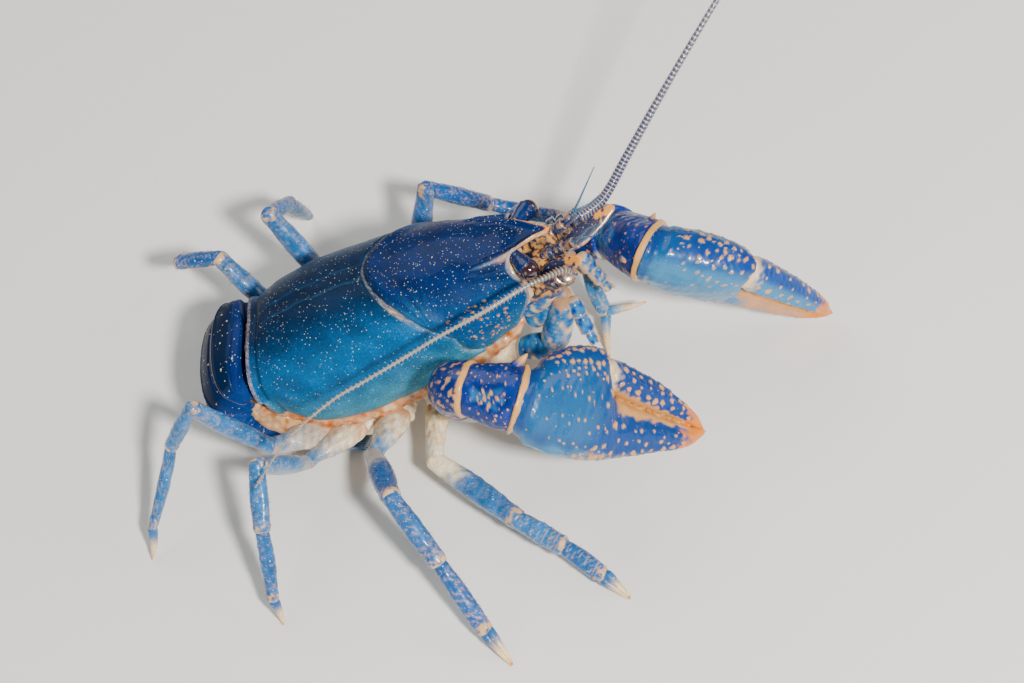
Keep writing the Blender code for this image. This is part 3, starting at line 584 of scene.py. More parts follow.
def carapace_sheet():
    """Return the shell plate's points, colours and freckles."""
    rng = np.random.default_rng(5)
    angle, girth = shell_angles(261, SHELL_REACH)
    hind, groove, front = hind_station(angle), groove_station(angle), front_margin(angle)
    rear_rows, front_rows = crowd(125, 0.75)[:-1, None], crowd(125, 0.6)[:, None]
    x = np.concatenate([hind + (groove - hind) * rear_rows, groove + (front - groove) * front_rows])
    slope = np.gradient(groove, girth / (len(angle) - 1))
    body = shell_point(x, np.broadcast_to(angle, x.shape))
    y, z = body[..., 1], body[..., 2]
    normal = grid_normals(body, body - np.stack([x, 0 * x, 0 * x - 5.0], -1))
    side = np.abs(y)
    from_groove = (x - groove) / np.sqrt(1.0 + slope ** 2)
    from_hind = x - hind
    from_front = margin_distance(x, front, np.linspace(0.0, 0.65 * girth, len(angle)))
    top = curve(TOP_STATIONS, TOPS, x)
    margin = curve(STATIONS, MARGINS, x)
    height = (z - margin) / (top - margin)
    dorsal = ease(0.55, 0.9, height)
    ridge = curve(RIDGE_STATIONS, RIDGE_PLACES, x)
    depth = sizes().groove_depth / MM
    edge_column = np.minimum(np.arange(len(angle)), np.arange(len(angle))[::-1]) * girth / len(angle)

    lift = -depth * bump(from_groove, 0.34)
    lift = lift + 0.3 * bump(from_groove - 1.0, 0.9) * ease(0.2, 0.7, height)
    lift = lift - 0.16 * bump(from_hind - 1.15, 0.22) + 0.1 * bump(from_hind - 0.3, 0.3)
    areola = (bump(side - 0.95 - 0.12 * uneven(body, 1.6, 3), 0.12) * ease(1.5, 4.5, x)
              * ease(0.1, -0.8, x - groove) * np.where(y < 0, 1.0, 0.5))
    lift = lift - 0.07 * areola
    lift = lift - 0.12 * bump(side, 0.8) * ease(1.5, 4.0, x) * ease(0.0, -2.0, x - groove)
    snout = ease(26.0, 29.0, x) * (height > 0.4)
    lift = lift + 0.34 * bump(side - ridge + 0.22, 0.26) * snout
    lift = lift - 0.3 * ease(0.0, 1.0, (ridge - side) / 1.2) * ease(29.5, 32.0, x) * ease(35.2, 33.0, x)
    lift = lift - 0.22 * bump(side - ridge - 0.55, 0.35) * snout * ease(31.0, 30.0, x)
    brow = bump(side - (4.05 - 0.06 * (x - 27.0)), 0.3) * ease(25.0, 27.5, x) * ease(30.9, 30.2, x)
    lift = lift + 0.3 * brow * (height > 0.4)
    lift = lift - 0.25 * bump(height - 0.52, 0.05) * ease(22.0, 26.0, x) * ease(31.0, 29.0, x)
    rim = bump(from_front - 0.25, 0.22) * (x > 27.0) * (side > 1.8)
    lift = lift + 0.14 * rim
    lift = lift + 0.1 * bump(edge_column - 0.25, 0.25) - 0.08 * bump(edge_column - 0.75, 0.25)
    lift = lift + 0.03 * uneven(body, 4.0, 1) + 0.004 * uneven(body, 1.1, 2)
    marks = []
    middle = len(angle) // 2
    for _ in range(CHEEK_GRAINS):
        station, level = rng.uniform(18.5, 29.8), rng.uniform(0.25, 0.72)
        row = nearest(x[:, middle], station)
        columns = range(middle) if rng.integers(2) else range(2 * middle, middle, -1)
        column = min(columns, key=lambda c: abs(height[row, c] - level))
        if from_groove[row, column] > 0.8 and from_front[row, column] > 0.5:
            marks.append((row, column, rng.uniform(0.08, 0.15)))
    body, grains = raise_spots(push(body, normal, lift), normal, marks, 0.06)

    navy, head, sea, teal = shade("navy"), shade("head"), shade("sea"), shade("teal")
    rear_tone = mix(mix(teal, sea, ease(0.2, 0.65, height)), navy, ease(0.76, 1.03, height))
    front_tone = mix(mix(mix(teal, sea, 0.45), mix(sea, head, 0.35), ease(0.05, 0.45, height)),
                     mix(head, navy, 0.55), ease(0.55, 0.98, height))
    tone = mix(rear_tone, front_tone, ease(-0.3, 1.2, from_groove))
    scar = np.exp(-(((x - 19.6) / 2.0) ** 2 + ((side - 6.5) / 1.5) ** 2)) * (z > -3.5)
    streak = 0.6 + 0.4 * np.sin(19.0 * np.arctan2(side - 7.6, x - 21.4))
    tone = mix(tone, mix(sea, shade("sky"), 0.3), 0.6 * scar * streak)
    tone = mix(tone, navy * 0.8, 0.5 * bump(from_hind - 1.2, 0.3))
    tone = mix(tone, mix(sea, shade("sky"), 0.35), 0.35 * areola)
    widest = bump(height - 0.86, 0.1)
    reach = 0.12 + 0.2 * widest + 0.1 * ease(0.42, 0.3, height)
    band = ease(1.3, 0.7, np.abs(from_groove + 0.1) / reach)
    band = band * (0.35 + 0.6 * widest + 0.4 * ease(0.5, 0.3, height))
    pale = mix(mix(shade("white"), shade("sky"), 0.6), mix(shade("white"), shade("cream"), 0.5), widest)
    patchy = 0.7 + 0.4 * uneven(body, 0.5, 8)
    tone = mix(tone, pale * 0.75, np.clip(0.7 * band * patchy, 0, 0.75))
    tone = mix(tone, mix(shade("tan"), shade("sky"), 0.5), 0.75 * ease(0.5, 0.35, from_hind) * patchy)
    beak = ease(29.5, 34.0, x)
    tone = mix(tone, shade("cream"), 0.8 * ease(0.12 + 0.28 * beak, 0.02 + 0.2 * beak, ridge - side)
               * ease(28.5, 31.0, x) * ease(0.6, 0.25, side - ridge) * (height > 0.4))
    tone = mix(tone, mix(shade("sky"), shade("white"), 0.3),
               0.6 * bump(side - ridge - 0.12, 0.1) * snout)
    tone = mix(tone, shade("orange"), 0.8 * ease(34.3, 34.9, x))
    tone = mix(tone, mix(shade("sky"), shade("cream"), 0.4), 0.75 * ease(0.5, 0.15, from_front)
               * (x > 26.0) * (side > 1.9))
    tone = mix(tone, mix(shade("tan"), shade("sky"), 0.3), 0.8 * ease(0.42, 0.15, edge_column))
    tone = mix(tone, shade("cream"), 0.7 * grains)
    tone = tone * (1.0 + 0.12 * uneven(body, 2.2, 7))[..., None]
    freckle = 0.26 + 0.16 * dorsal + 0.16 * ease(0, 2, from_groove)
    wet = 0.2 + 0.8 * ease(1.0, 9.0, from_groove) * ease(0.15, 0.45, height)
    return world(body), tone, freckle, wet


class CRAYFISH_OT_shell(bpy.types.Operator):
    """Build the shell plate with its neck groove, ridges and rostrum."""
    bl_idname = "crayfish.shell"
    bl_label = "Shell plate"

    def execute(self, context):
        """Make the plate as one sheet and give it its wall."""
        points, tone, freckle, wet = carapace_sheet()
        bm = sheet(points, tone, freckle, wet, closed=False)
        finish = shell_finish("carapace_shell", dot="white", pitch=1900.0, dot_size=0.085, clouds=0.3,
                              grain=0.7, roughness=0.45, coat=0.2, relief=0.6, shine=0.1)
        piece = finish_piece("carapace", bm, finish, ("carapace_rear", "carapace_head"))
        if sum(face.normal.z for face in piece.data.polygons) < 0:
            piece.data.flip_normals()
        wall = piece.modifiers.new("wall", "SOLIDIFY")
        wall.thickness = sizes().shell_wall
        wall.offset = -1.0
        return {"FINISHED"}


TAIL_FOLD_STATIONS = (-1.0, 2.0, 4.5, 6.5, 9.2)
TAIL_FOLD_LINES = ((-3.15, -2.75, -1.8, -0.4, 2.2), (4.6, 4.95, 5.2, 5.3, 5.1),
                   (-4.4, -7.5, -9.9, -11.2, -12.0))


def flesh_bm():
    """Return the flesh inside the shell, with a lobe over each leg's root."""
    place, girth = rounded_stations(31.8, 0.4, 0.6, 80)
    x = place[:, None] - 1.2
    skin = shell_point(x, ring_angles(120)[None, :], inset=0.65 + 0.9 * ease(2.2, -1.2, x))
    low = ease(-7.5, -11.0, skin[..., 2])
    lobes = 0.6 + 0.4 * np.abs(np.sin(x * math.pi / LEG_SPACING))
    skin[..., 2] -= 1.5 * low * ease(30.0, 25.0, x) * lobes
    middle = skin[:, :-1].mean(axis=1, keepdims=True)
    skin = middle + (skin - middle) * girth[:, None, None]
    folds = np.sin(skin[..., 0] * (2 * math.pi / LEG_SPACING)) * 0.25 * low
    skin = push(skin, grid_normals(skin, skin - middle), folds + 0.08 * uneven(skin, 1.3, 11))
    tone = mix(shade("tan"), shade("white"), 0.5 + 0.35 * uneven(skin, 2.4, 12))
    tone = mix(tone, shade("tan") * np.array((1.1, 0.75, 0.5)), 0.5 * ease(-9.0, -10.5, skin[..., 2]))
    return sheet(world(skin), tone, 0.2)


def keel_bm():
    """Return the pale keel between the legs."""
    place, girth = rounded_stations(21.6, 0.6, 0.6, 90)
    centres = world(np.stack([place + 2.7, 0 * place, 0 * place - 13.5], -1))
    wave = 1.0 + 0.1 * np.cos(place * (2 * math.pi / LEG_SPACING) + 1.0)
    keel = tube(centres, tilted(LEFTWARD), tilted(UPWARD), 4.3 * girth * wave, 1.35 * girth, 64, 4.0)
    return sheet(keel, mix(shade("white"), shade("tan"), 0.4 + 0.3 * uneven(keel, 1.8, 13)), 0.1, 0.4)


def soft_strip(centres, upward, half_across, half_up, girth, columns, lumps, pitch, seed):
    """Return points of a round-ended strip of skin with lumps."""
    strip = tube(centres, tilted(LEFTWARD), upward, half_across * girth, half_up * girth, columns, 2.1)
    outward = unit(strip - centres[:, None] + 1e-9)
    return push(strip, outward, lumps * uneven(strip, pitch, seed) * girth[:, None])


def hem_bm(side):
    """Return the wet skin along one lower margin of the shell."""
    place, girth = rounded_stations(29.0, 0.8, 2.0, 150)
    hem = shell_point(place - 2.4, math.radians(90 - side * (90 + SHELL_REACH)), inset=0.6)
    swell = bump(place - 3.6, 1.9)
    hem[:, 1] += np.sign(hem[:, 1]) * (1.0 - 0.25 * swell)
    hem[:, 2] -= 0.8 - 1.7 * ease(3.5, -2.4, place - 2.4) + 0.7 * swell
    strip = soft_strip(world(hem), tilted(UPWARD), 0.75 + 0.3 * swell, 0.85 + 0.85 * swell, girth,
                       36, 0.13, 0.75, 14)
    warm = shade("tan") * np.array((1.15, 0.82, 0.58))
    flesh = mix(warm, shade("white"), 0.2 + 0.25 * uneven(strip, 1.2, 15))
    return sheet(strip, flesh, 0.3, 1.8)


def tail_fold_bm(side):
    """Return the soft fold between the shell's hind margin and the tail."""
    place, girth = rounded_stations(8.2, 0.8, 0.8, 70)
    fold = np.stack([curve(TAIL_FOLD_STATIONS, line, place) for line in TAIL_FOLD_LINES], -1)
    fold[:, 1] *= side
    centres = world(fold)
    upward = unit(np.cross(np.gradient(centres, axis=0), tilted(LEFTWARD)))
    skin = soft_strip(centres, upward, curve((-1.0, 2.5), (0.3, 0.8), place),
                      curve((-1.0, 3.0, 9.2), (0.5, 1.5, 1.7), place), girth, 40, 0.05, 1.8, 16)
    tone = mix(shade("tan"), mix(shade("cream"), shade("white"), 0.6), 0.3 + 0.3 * uneven(skin, 1.1, 17))
    return sheet(skin, tone, 0.2, 1.2)


class CRAYFISH_OT_trunk(bpy.types.Operator):
    """Build the flesh under the shell and the keel between the legs."""
    bl_idname = "crayfish.trunk"
    bl_label = "Trunk"

    def execute(self, context):
        """Make the flesh, the keel, the hems and the folds at the tail's root as one piece."""
        parts = [flesh_bm(), keel_bm(), hem_bm(1.0), hem_bm(-1.0)]
        parts += [tail_fold_bm(side) for side in SIDES.values()]
        finish = shell_finish("leg_root_skin", dot="tan", pitch=1500.0, clouds=0.3, grain=0.3,
                              roughness=0.35, coat=0.4, relief=0.6, subsurface=0.15)
        finish_piece("trunk", merge(parts), finish, ("sternum",))
        return {"FINISHED"}


# Tail
CURL_RADIUS = 7.4
CURL_CENTRE = (-1.5, -7.35)
CURL_ANGLE = 166.0
TAIL_SEGMENTS = 6
TAIL_HALF_WIDTH = 6.5


def tail_frame(degrees):
    """Return the curl's centre and its outward and cross directions at each angle."""
    degrees = np.asarray(degrees, float)
    fade = np.clip(degrees / CURL_ANGLE, 0.0, 1.0)[..., None]
    centre = world((CURL_CENTRE[0], 0.0, CURL_CENTRE[1]))
    across = unit(tilted(LEFTWARD) * (1 - fade) + LEFTWARD * fade)
    a = np.radians(degrees)[..., None]
    outward = tilted(UPWARD) * np.cos(a) + tilted(-AHEAD) * np.sin(a)
    return centre, square_to(outward, across), across


def tail_ring_bm(index):
    """Return one tail ring, with its side lobe, rim and crease."""
    step = CURL_ANGLE / TAIL_SEGMENTS
    place, girth = rounded_stations(1.0, 0.0, 0.09, 44, 6)
    t = np.concatenate([[-0.02], place[6:]])
    girth = np.concatenate([[0.0], girth[6:]])
    within = np.clip(t, 0, 1)
    angle = ring_angles(132)
    c, s = np.cos(angle), np.sin(angle)
    degrees = (index + t) * step
    fade = degrees / CURL_ANGLE
    half = TAIL_HALF_WIDTH * (0.97 + 0.06 * np.sin(math.pi * np.clip(fade, 0, 1)) - 0.2 * fade ** 2)
    half = (half * (0.985 + 0.03 * t))[:, None]
    depth = (5.6 - fade)[:, None]
    lift = (-0.3 + 0.42 * t - 0.25 * fade)[:, None]
    above = s >= 0
    height = np.where(above, CURL_RADIUS + lift - depth * 0.5 * (1.0 - np.abs(s) ** 0.85),
                      CURL_RADIUS - depth * 0.5 - depth * 0.5 * np.abs(s) ** 0.5)
    width = half * np.where(above, power(c, 0.85), power(c, 0.5))
    if index > 0:
        lobe = ease(0.05, -0.25, s) * ease(-0.98, -0.7, s) * ease(0.1, 0.35, t)[:, None]
        height = height - 0.9 * lobe * np.sin(math.pi * within)[:, None]
    centre, outward, across = tail_frame(degrees)
    points = centre + outward[:, None] * height[..., None] + across[:, None] * width[..., None]
    if index == 0:
        tuck = (hind_station(angle)[None, :] + 0.5) * (1.0 - within)[:, None]
        points = points + np.cross(across, outward)[:, None] * tuck[..., None]
    middle = points[:, :-1].mean(axis=1, keepdims=True)
    points = middle + (points - middle) * girth[:, None, None] ** 0.5
    normal = grid_normals(points, points - middle)
    back = ease(-0.1, 0.5, s)[None, :]
    lift = -0.13 * bump(t - 0.3, 0.03)[:, None] * back + 0.1 * bump(t - 0.93, 0.05)[:, None]
    lift = lift + 0.012 * uneven(points, 2.6, 20 + index)
    points = push(points, normal, lift * ease(-0.35, 0.1, s)[None, :])
    flank = ease(0.5, -0.2, s)[None, :]
    royal, sky = shade("royal"), shade("sky")
    tone = mix(shade("navy"), mix(shade("head"), royal, 0.2),
               ease(0.5, 0.1, t)[:, None] * (0.5 if index else 0.75))
    tone = mix(tone, mix(shade("sea"), royal, 0.7), 0.75 * flank)
    tone = mix(tone, mix(shade("cream"), sky, 0.3), ease(0.93, 0.98, t)[:, None] * (0.35 + 0.4 * flank))
    if index > 0:
        tone = mix(tone, mix(sky, shade("tan"), 0.4), 0.8 * ease(-0.6, -0.95, s)[None, :])
    return sheet(points, tone, 0.3)


class CRAYFISH_OT_tail(bpy.types.Operator):
    """Build the six overlapping tail rings."""
    bl_idname = "crayfish.tail"
    bl_label = "Tail rings"

    def execute(self, context):
        """Make one piece for each ring."""
        finish = shell_finish("tail_shell", dot="white", pitch=1500.0, dot_size=0.13, clouds=0.3,
                              grain=0.4, roughness=0.5, coat=0.12, shine=0.08)
        for index in range(TAIL_SEGMENTS):
            finish_piece("tail_ring_%d" % (index + 1), tail_ring_bm(index), finish,
                         ("tail_segment_%d" % (index + 1),))
        return {"FINISHED"}


# Stage
CAMERA_PLACE = (0.057135, -0.223900, 0.324218)
CAMERA_TARGET = (0.000145, 0.004281, 0.0)
CAMERA_ROLL = -21.19
LAMPS = (("flash", (0.17, -0.27, 0.34), 0.05, 3.8, (1.0, 0.98, 0.95)),
         ("overhead", (-0.22, 0.34, 0.46), 0.50, 1.6, (1.0, 1.0, 1.0)),
         ("front", (0.50, 0.05, 0.30), 0.30, 0.9, (1.0, 0.97, 0.93)),
         ("side", (-0.30, -0.40, 0.16), 0.30, 0.6, (0.93, 0.97, 1.0)))


class CRAYFISH_OT_stage(bpy.types.Operator):
    """Lay the floor, hang the lights and set the camera."""
    bl_idname = "crayfish.stage"
    bl_label = "Stage"

    def execute(self, context):
        """Make the floor, the lights and the camera."""
        settings = context.scene.crayfish_stage
        bm = bmesh.new()
        bmesh.ops.create_grid(bm, x_segments=2, y_segments=2, size=2.0)
        mesh = bpy.data.meshes.new("floor")
        bm.to_mesh(mesh)
        bm.free()
        floor = bpy.data.objects.new("floor", mesh)
        context.scene.collection.objects.link(floor)
        paper, tree, shader = new_material("floor_paper")
        feed(tree, shader, {"Base Color": (*settings.floor, 1.0), "Roughness": 0.7})
        mesh.materials.append(paper)
        studio = bpy.data.worlds.new("studio")
        studio.use_nodes = True
        feed(studio.node_tree, studio.node_tree.nodes["Background"],
             {"Color": (0.9, 0.95, 1.0, 1.0), "Strength": 0.21})
        context.scene.world = studio
        target = Vector(CAMERA_TARGET)
        for name, place, width, watts, colour in LAMPS:
            lamp = bpy.data.lights.new(name, "AREA")
            lamp.shape, lamp.size, lamp.energy, lamp.color = "DISK", width, watts, colour
            light = bpy.data.objects.new(name, lamp)
            light.location = place
            light.rotation_euler = (target - Vector(place)).to_track_quat("-Z", "Y").to_euler()
            context.scene.collection.objects.link(light)
        lens = bpy.data.cameras.new("camera")
        lens.lens = settings.lens
        lens.sensor_width = 36.0
        lens.clip_start = 0.01
        camera = bpy.data.objects.new("camera", lens)
        toward = (Vector(CAMERA_PLACE) - target).normalized()
        level = Vector((0, 0, 1)).cross(toward).normalized()
        steep = toward.cross(level)
        roll = math.radians(CAMERA_ROLL)
        right = level * math.cos(roll) + steep * math.sin(roll)
        upright = toward.cross(right)
        camera.matrix_world = Matrix.Translation(CAMERA_PLACE) @ Matrix(
            (right, upright, toward)).transposed().to_4x4()
        context.scene.collection.objects.link(camera)
        context.scene.camera = camera
        return {"FINISHED"}


# Limb articles
SLANT = np.array((0.3, 0.5, 0.8))


def article(start, end, hinge, profile, paint, columns=30, rows=34, caps=(0.5, 0.4), flat=1.0,
            exponent=2.1, bow=0.0, seed=0, relief=0.02, wet=1.0):
    """Return one round-ended limb article as a sheet.

    profile is (share, radius) stations, and paint gives the tone and freckle from the
    share along, the upward facing and the points.
    """
    start, end = np.asarray(start, float), np.asarray(end, float)
    length = np.linalg.norm(end - start)
    axis = (end - start) / length
    across = square_to(np.asarray(hinge, float), axis)
    upward = np.cross(across, axis)
    shares, radii = zip(*profile)
    place, girth = rounded_stations(length, caps[0] * radii[0], caps[1] * radii[-1], rows)
    t = place / length
    radius = curve(shares, radii, t) * girth
    centres = start + axis * place[:, None]
    centres = centres + upward * (bow * np.sin(math.pi * np.clip(t, 0, 1)))[:, None]
    points = tube(centres, across, upward, radius, radius * flat, columns, exponent)
    normal = unit(points - centres[:, None])
    wave = relief * uneven(points, 1.1, seed) * girth[:, None]
    points = push(points, normal, wave)
    points[..., 2] = np.maximum(points[..., 2], FLOOR_CLEARANCE)
    return painted(points, normal, t, paint, wet)


def banded(top, under, end_cream=0.93, freckle=0.4, pale_start=0.0, blotches=0.0, seed=0):
    """Return a paint that is darker above, paler below and cream round the far joint."""
    def paint(t, facing, points):
        tone = mix(under, top, ease(-0.7, 0.5, facing))
        tone = tone * (1.0 + 0.14 * uneven(points, 1.7, 31))[..., None]
        pale = ease(0.32, 0.08, t - 0.14 * facing + 0.05 * uneven(points, 1.0, 30))
        start_tone = mix(shade("white"), shade("cream"), 0.25 * ease(0.2, 0.0, t))
        tone = mix(tone, start_tone, pale_start * pale)
        wobble = 0.03 * uneven(points, 0.7, 32)
        ends = ease(end_cream, end_cream + 0.04, t + wobble)
        patchy = ease(-0.2, 0.5, uneven(points, 0.9, 34) + 0.5 * facing)
        tone = mix(tone, mix(shade("cream"), shade("white"), 0.25), 0.9 * ends * patchy)
        marks = ease(0.35, 0.7, uneven(points, 0.5, 35 + seed) + 0.4 * facing
                     + 0.6 * ease(0.5, 1.0, t) - 0.45)
        tone = mix(tone, mix(shade("cream"), shade("white"), 0.25), blotches * marks)
        return tone, freckle * (1.0 - 0.7 * ends)
    return paint


def plain(tone):
    """Return a paint of one softly clouded colour."""
    def paint(t, facing, points):
        return tone * (1 + 0.12 * uneven(points, 0.9, 33))[..., None], 0.0
    return paint


def bead(centre, axis, radius, tone, long=0.8):
    """Return the soft skin that shows inside a joint."""
    half = unit(axis) * radius * 0.2 * long
    return article(centre - half, centre + half, SLANT, ((0.0, radius), (1.0, radius)), plain(tone),
                   columns=20, rows=4, caps=(long, long))


def spine(root, way, length, radius, tone, tip):
    """Return a pointed spine or tooth."""
    way = unit(way)
    hinge = square_to(SLANT, way)
    t = np.linspace(0.0, 1.0, 12)
    radii = radius * np.sqrt(1.0 - t) * (1.0 - 0.35 * t)
    points = tube(root + way * (t * length)[:, None], hinge, np.cross(hinge, way), radii, radii, 12)
    return sheet(points, mix(tone, tip, ease(0.2, 0.7, t)[:, None]))


# Walking legs: root, then base, thigh, knee, shin and toe as (length, azimuth, elevation)
LEGS = {
    "leg_2_right": ((15.4, -6.5, -14.3),
                    ((6.4, -100, -9), (11.6, -45, -5), (5.6, -37, -14), (5.3, -44, -12), (3.7, -44, 0))),
    "leg_3_right": ((10.9, -6.6, -14.5),
                    ((5.8, -123, 12), (10.2, -73, 28), (8.3, -58, -32), (8.5, -60, -32), (4.5, -57, 0))),
    "leg_4_right": ((6.7, -6.5, -14.5),
                    ((7.6, -152, 9), (9.2, -129, 53), (6.7, -96, -33), (7.7, -96, -50), (3.2, -76, 0))),
    "leg_5_right": ((3.4, -6.2, -14.2),
                    ((8.0, -160, 28), (10.0, 167, 47), (6.3, -166, -53), (9.3, -125, -42),
                      (3.8, -113, 0))),
    "leg_2_left": ((15.4, 6.5, -14.0),
                   ((7.3, 71, 17), (11.6, -11, 6), (5.4, -52, -10), (5.2, -74, -57), (5.1, -96, 0))),
    "leg_3_left": ((10.9, 6.6, -14.1),
                   ((6.8, 78, 0), (10.1, 51, 55), (8.2, 10, -46), (8.5, -5, -29), (4.5, -4, 0))),
    "leg_4_left": ((6.7, 6.5, -14.0),
                   ((7.0, 123, 31), (10.3, 134, 49), (6.7, 75, -45), (7.6, 87, -64), (3.2, 87, 0))),
    "leg_5_left": ((3.4, 6.2, -13.7),
                   ((6.9, 151, 21), (9.8, 142, 47), (5.7, 160, -20), (9.0, 100, -52), (3.7, 111, 0))),
}
LEG_GIRTH = {"2": 1.12, "3": 1.08, "4": 1.0, "5": 0.95}
LEG_LIGHT = {"leg_2_right": (1.0, 0.35, 0.55, 0.3, 0.3), "leg_3_right": (0.9, 0.1, 0.35, 0.2, 0.3),
             "leg_4_right": (0.85, 0.65, 0.6, 0.35, 0.3), "leg_5_right": (0.7, 0.55, 0.6, 0.5, 0.5),
             "leg_2_left": (0.8, 0.3, 0.6, 0.85, 0.95), "leg_3_left": (0.6, 0.3, 0.1, 0.15, 0.3),
             "leg_4_left": (0.6, 0.45, 0.2, 0.5, 0.5), "leg_5_left": (0.6, 0.5, 0.2, 0.6, 0.6)}
PALE_THIGH = {"2": 0.95, "3": 0.5, "4": 0.35, "5": 0.0}
ROOT_SIDE = 4.9
FOOT_LIFT = 0.12
THIGH, SHIN = 0, 2
STRETCH_SHAPES = (
    ((0.0, 0.92), (0.1, 0.98), (0.35, 1.16), (0.65, 1.16), (0.88, 1.0), (0.96, 1.06), (1.0, 1.0)),
    ((0.0, 0.86), (0.12, 0.9), (0.5, 1.02), (0.86, 0.95), (0.95, 0.98), (1.0, 0.92)),
    ((0.0, 0.72), (0.12, 0.8), (0.45, 0.84), (0.8, 0.72), (0.95, 0.7), (1.0, 0.64)))
TOE_SHAPE = ((0.0, 0.5), (0.12, 0.58), (0.4, 0.46), (0.75, 0.29), (0.95, 0.14), (1.0, 0.1))


def leg_joints(root, stretches):
    """Return the joints of a leg, with its foot on the floor."""
    points = [world(root)]
    for length, azimuth, elevation in stretches:
        points.append(points[-1] + heading(azimuth, elevation) * length)
    toe, foot, reach = points[-2], points[-1], stretches[-1][0]
    drop = min(toe[2], 0.95 * reach)
    level = unit(np.array((foot[0] - toe[0], foot[1] - toe[1], 0.0)))
    points[-1] = np.array((toe[0], toe[1], FOOT_LIFT)) + level * math.sqrt(reach ** 2 - drop ** 2)
    return points


def leg_tone(light):
    """Return a leg's upper and under colours from its lightness."""
    azure, sky = shade("azure"), shade("sky")
    top = mix(mix(shade("royal"), azure, 0.7), sky, light * 0.75)
    return top, mix(mix(azure, sky, 0.55), shade("white"), 0.3 * light)


def leg_piece(name, root, stretches):
    """Return one leg and its hairs: root, thigh, knee, shin and a small pincer or claw."""
    number = name[4]
    girth, light, seed = LEG_GIRTH[number], LEG_LIGHT[name], sum(map(ord, name))
    outward = math.copysign(1.0, root[1])
    pincer = number in "23"
    p = leg_joints(root, stretches)
    hinge = unit(np.cross(p[2] - p[1], p[3] - p[2]))
    start = world((root[0], outward * ROOT_SIDE, root[2] + 0.6))
    inner = world((root[0], outward * 3.4, root[2] + 0.9))
    white, tan, cream = shade("white"), shade("tan"), shade("cream")
    flesh = mix(tan * WARM, white, 0.25)
    root_top, root_under = leg_tone(light[0])
    base_top = mix(root_top, white, 0.8) if number == "2" else root_top

    def root_paint(t, facing, points):
        return mix(flesh, white, ease(0.1, 0.8, t + 0.35 * uneven(points, 0.9, seed))), 0.1

    def base_paint(t, facing, points):
        tone = mix(mix(root_under, white, 0.5), base_top, ease(-0.6, 0.6, facing))
        pale = mix(white, mix(tan, cream, 0.5), 0.3 + 0.3 * uneven(points, 0.9, seed + 1))
        tone = mix(tone, pale, ease(1.05, 0.45, t + 0.12 * uneven(points, 1.4, seed)) * light[0])
        tone = mix(tone, flesh, 0.9 * ease(0.34, 0.08, t + 0.1 * uneven(points, 1.0, seed + 4)))
        tone = mix(tone, cream, 0.5 * ease(0.95, 0.975, t))
        return tone, 0.12

    broad = 1.0 if number == "2" else 1.25
    base_shape = [(t, r * girth) for t, r in (
        (0.0, 0.9), (0.12, 1.15 * broad), (0.35, 1.4 * broad), (0.6, 1.2 * broad), (0.85, 1.0),
        (0.95, 1.04), (1.0, 1.0))]
    parts = [article(inner, mix(start, p[0], 0.75), p[1] - p[0], ((0.0, 1.4), (0.5, 1.7), (1.0, 1.35)),
                     root_paint, flat=0.9, caps=(0.6, 0.6), seed=seed, relief=0.08),
             article(mix(start, p[0], 0.35), p[1], hinge, base_shape, base_paint, seed=seed + 2,
                     flat=0.72, relief=0.05, rows=64, columns=48, wet=0.8)]
    hairs, hair_ways = [], []
    rng = np.random.default_rng(seed)
    for k, shape in enumerate(STRETCH_SHAPES):
        top, under = leg_tone(light[k + 1])
        if k == THIGH:
            top, under = mix(top, root_top, 0.15), mix(under, white, 0.2)
        profile = [(t, r * girth) for t, r in shape]
        if k == SHIN and pincer:
            profile = [(t, r * mix(1.0, 1.22, ease(0.3, 0.8, t))) for t, r in profile]
        paint = banded(top, under, 0.9 if k == SHIN else 0.93, 0.3,
                       PALE_THIGH[number] if k == THIGH else 0.0,
                       (0.1, 0.35, 0.4)[k] if pincer else 0.25, seed)
        parts.append(article(p[k + 1], p[k + 2], hinge, profile, paint, flat=0.86,
                             bow=0.14 if k in (THIGH, SHIN) else 0.0, seed=seed + 3 + k, relief=0.03,
                             rows=50, caps=(0.7, 0.5)))
        axis, length = unit(p[k + 2] - p[k + 1]), np.linalg.norm(p[k + 2] - p[k + 1])
        across = square_to(hinge, axis)
        upward = np.cross(across, axis)
        for share in np.arange(0.06, 0.97, 0.34 / length):
            turned = rng.choice((0.0, math.pi)) + rng.normal() * 0.4
            out = across * math.cos(turned) + upward * math.sin(turned) * 0.86
            radius = float(curve(*zip(*profile), np.array([share]))[0])
            hairs.append(p[k + 1] + axis * share * length + out * radius * 0.96)
            hair_ways.append(out + axis * 0.6)
    toe, foot = p[4], p[5]
    top, under = leg_tone(light[4])

    def toe_paint(t, facing, points):
        tone = mix(under, top, ease(-0.7, 0.5, facing))
        tone = mix(tone, mix(white, cream, 0.4), ease(0.15, 0.65, t))
        tone = mix(tone, mix(cream, shade("orange"), 0.4), ease(0.86, 0.98, t))
        return tone, 0.35

    if pincer:
        aside = square_to(hinge, unit(foot - toe))
        spread = aside * 0.34 * girth
        second = foot - 0.25 * spread
        if name == "leg_2_left":
            second = toe + unit((0.93, 0.02, 0.05)) * 4.6
        for shift, end, wide in ((spread, foot + 0.25 * spread, 1.0), (-spread, second, 0.92)):
            profile = [(t, r * girth * 0.84 * wide) for t, r in TOE_SHAPE]
            parts.append(article(toe + shift, end, aside, profile, toe_paint, flat=1.1, bow=0.1,
                                 seed=seed + 9, columns=20))
    else:
        parts.append(article(toe, foot, hinge, [(t, r * girth) for t, r in TOE_SHAPE], toe_paint,
                             bow=0.18, seed=seed + 9, columns=20))
    return merge(parts), bristle_tuft(hairs, hair_ways, 0.6 * sizes().bristle / MM, "cream", seed, 0.2)


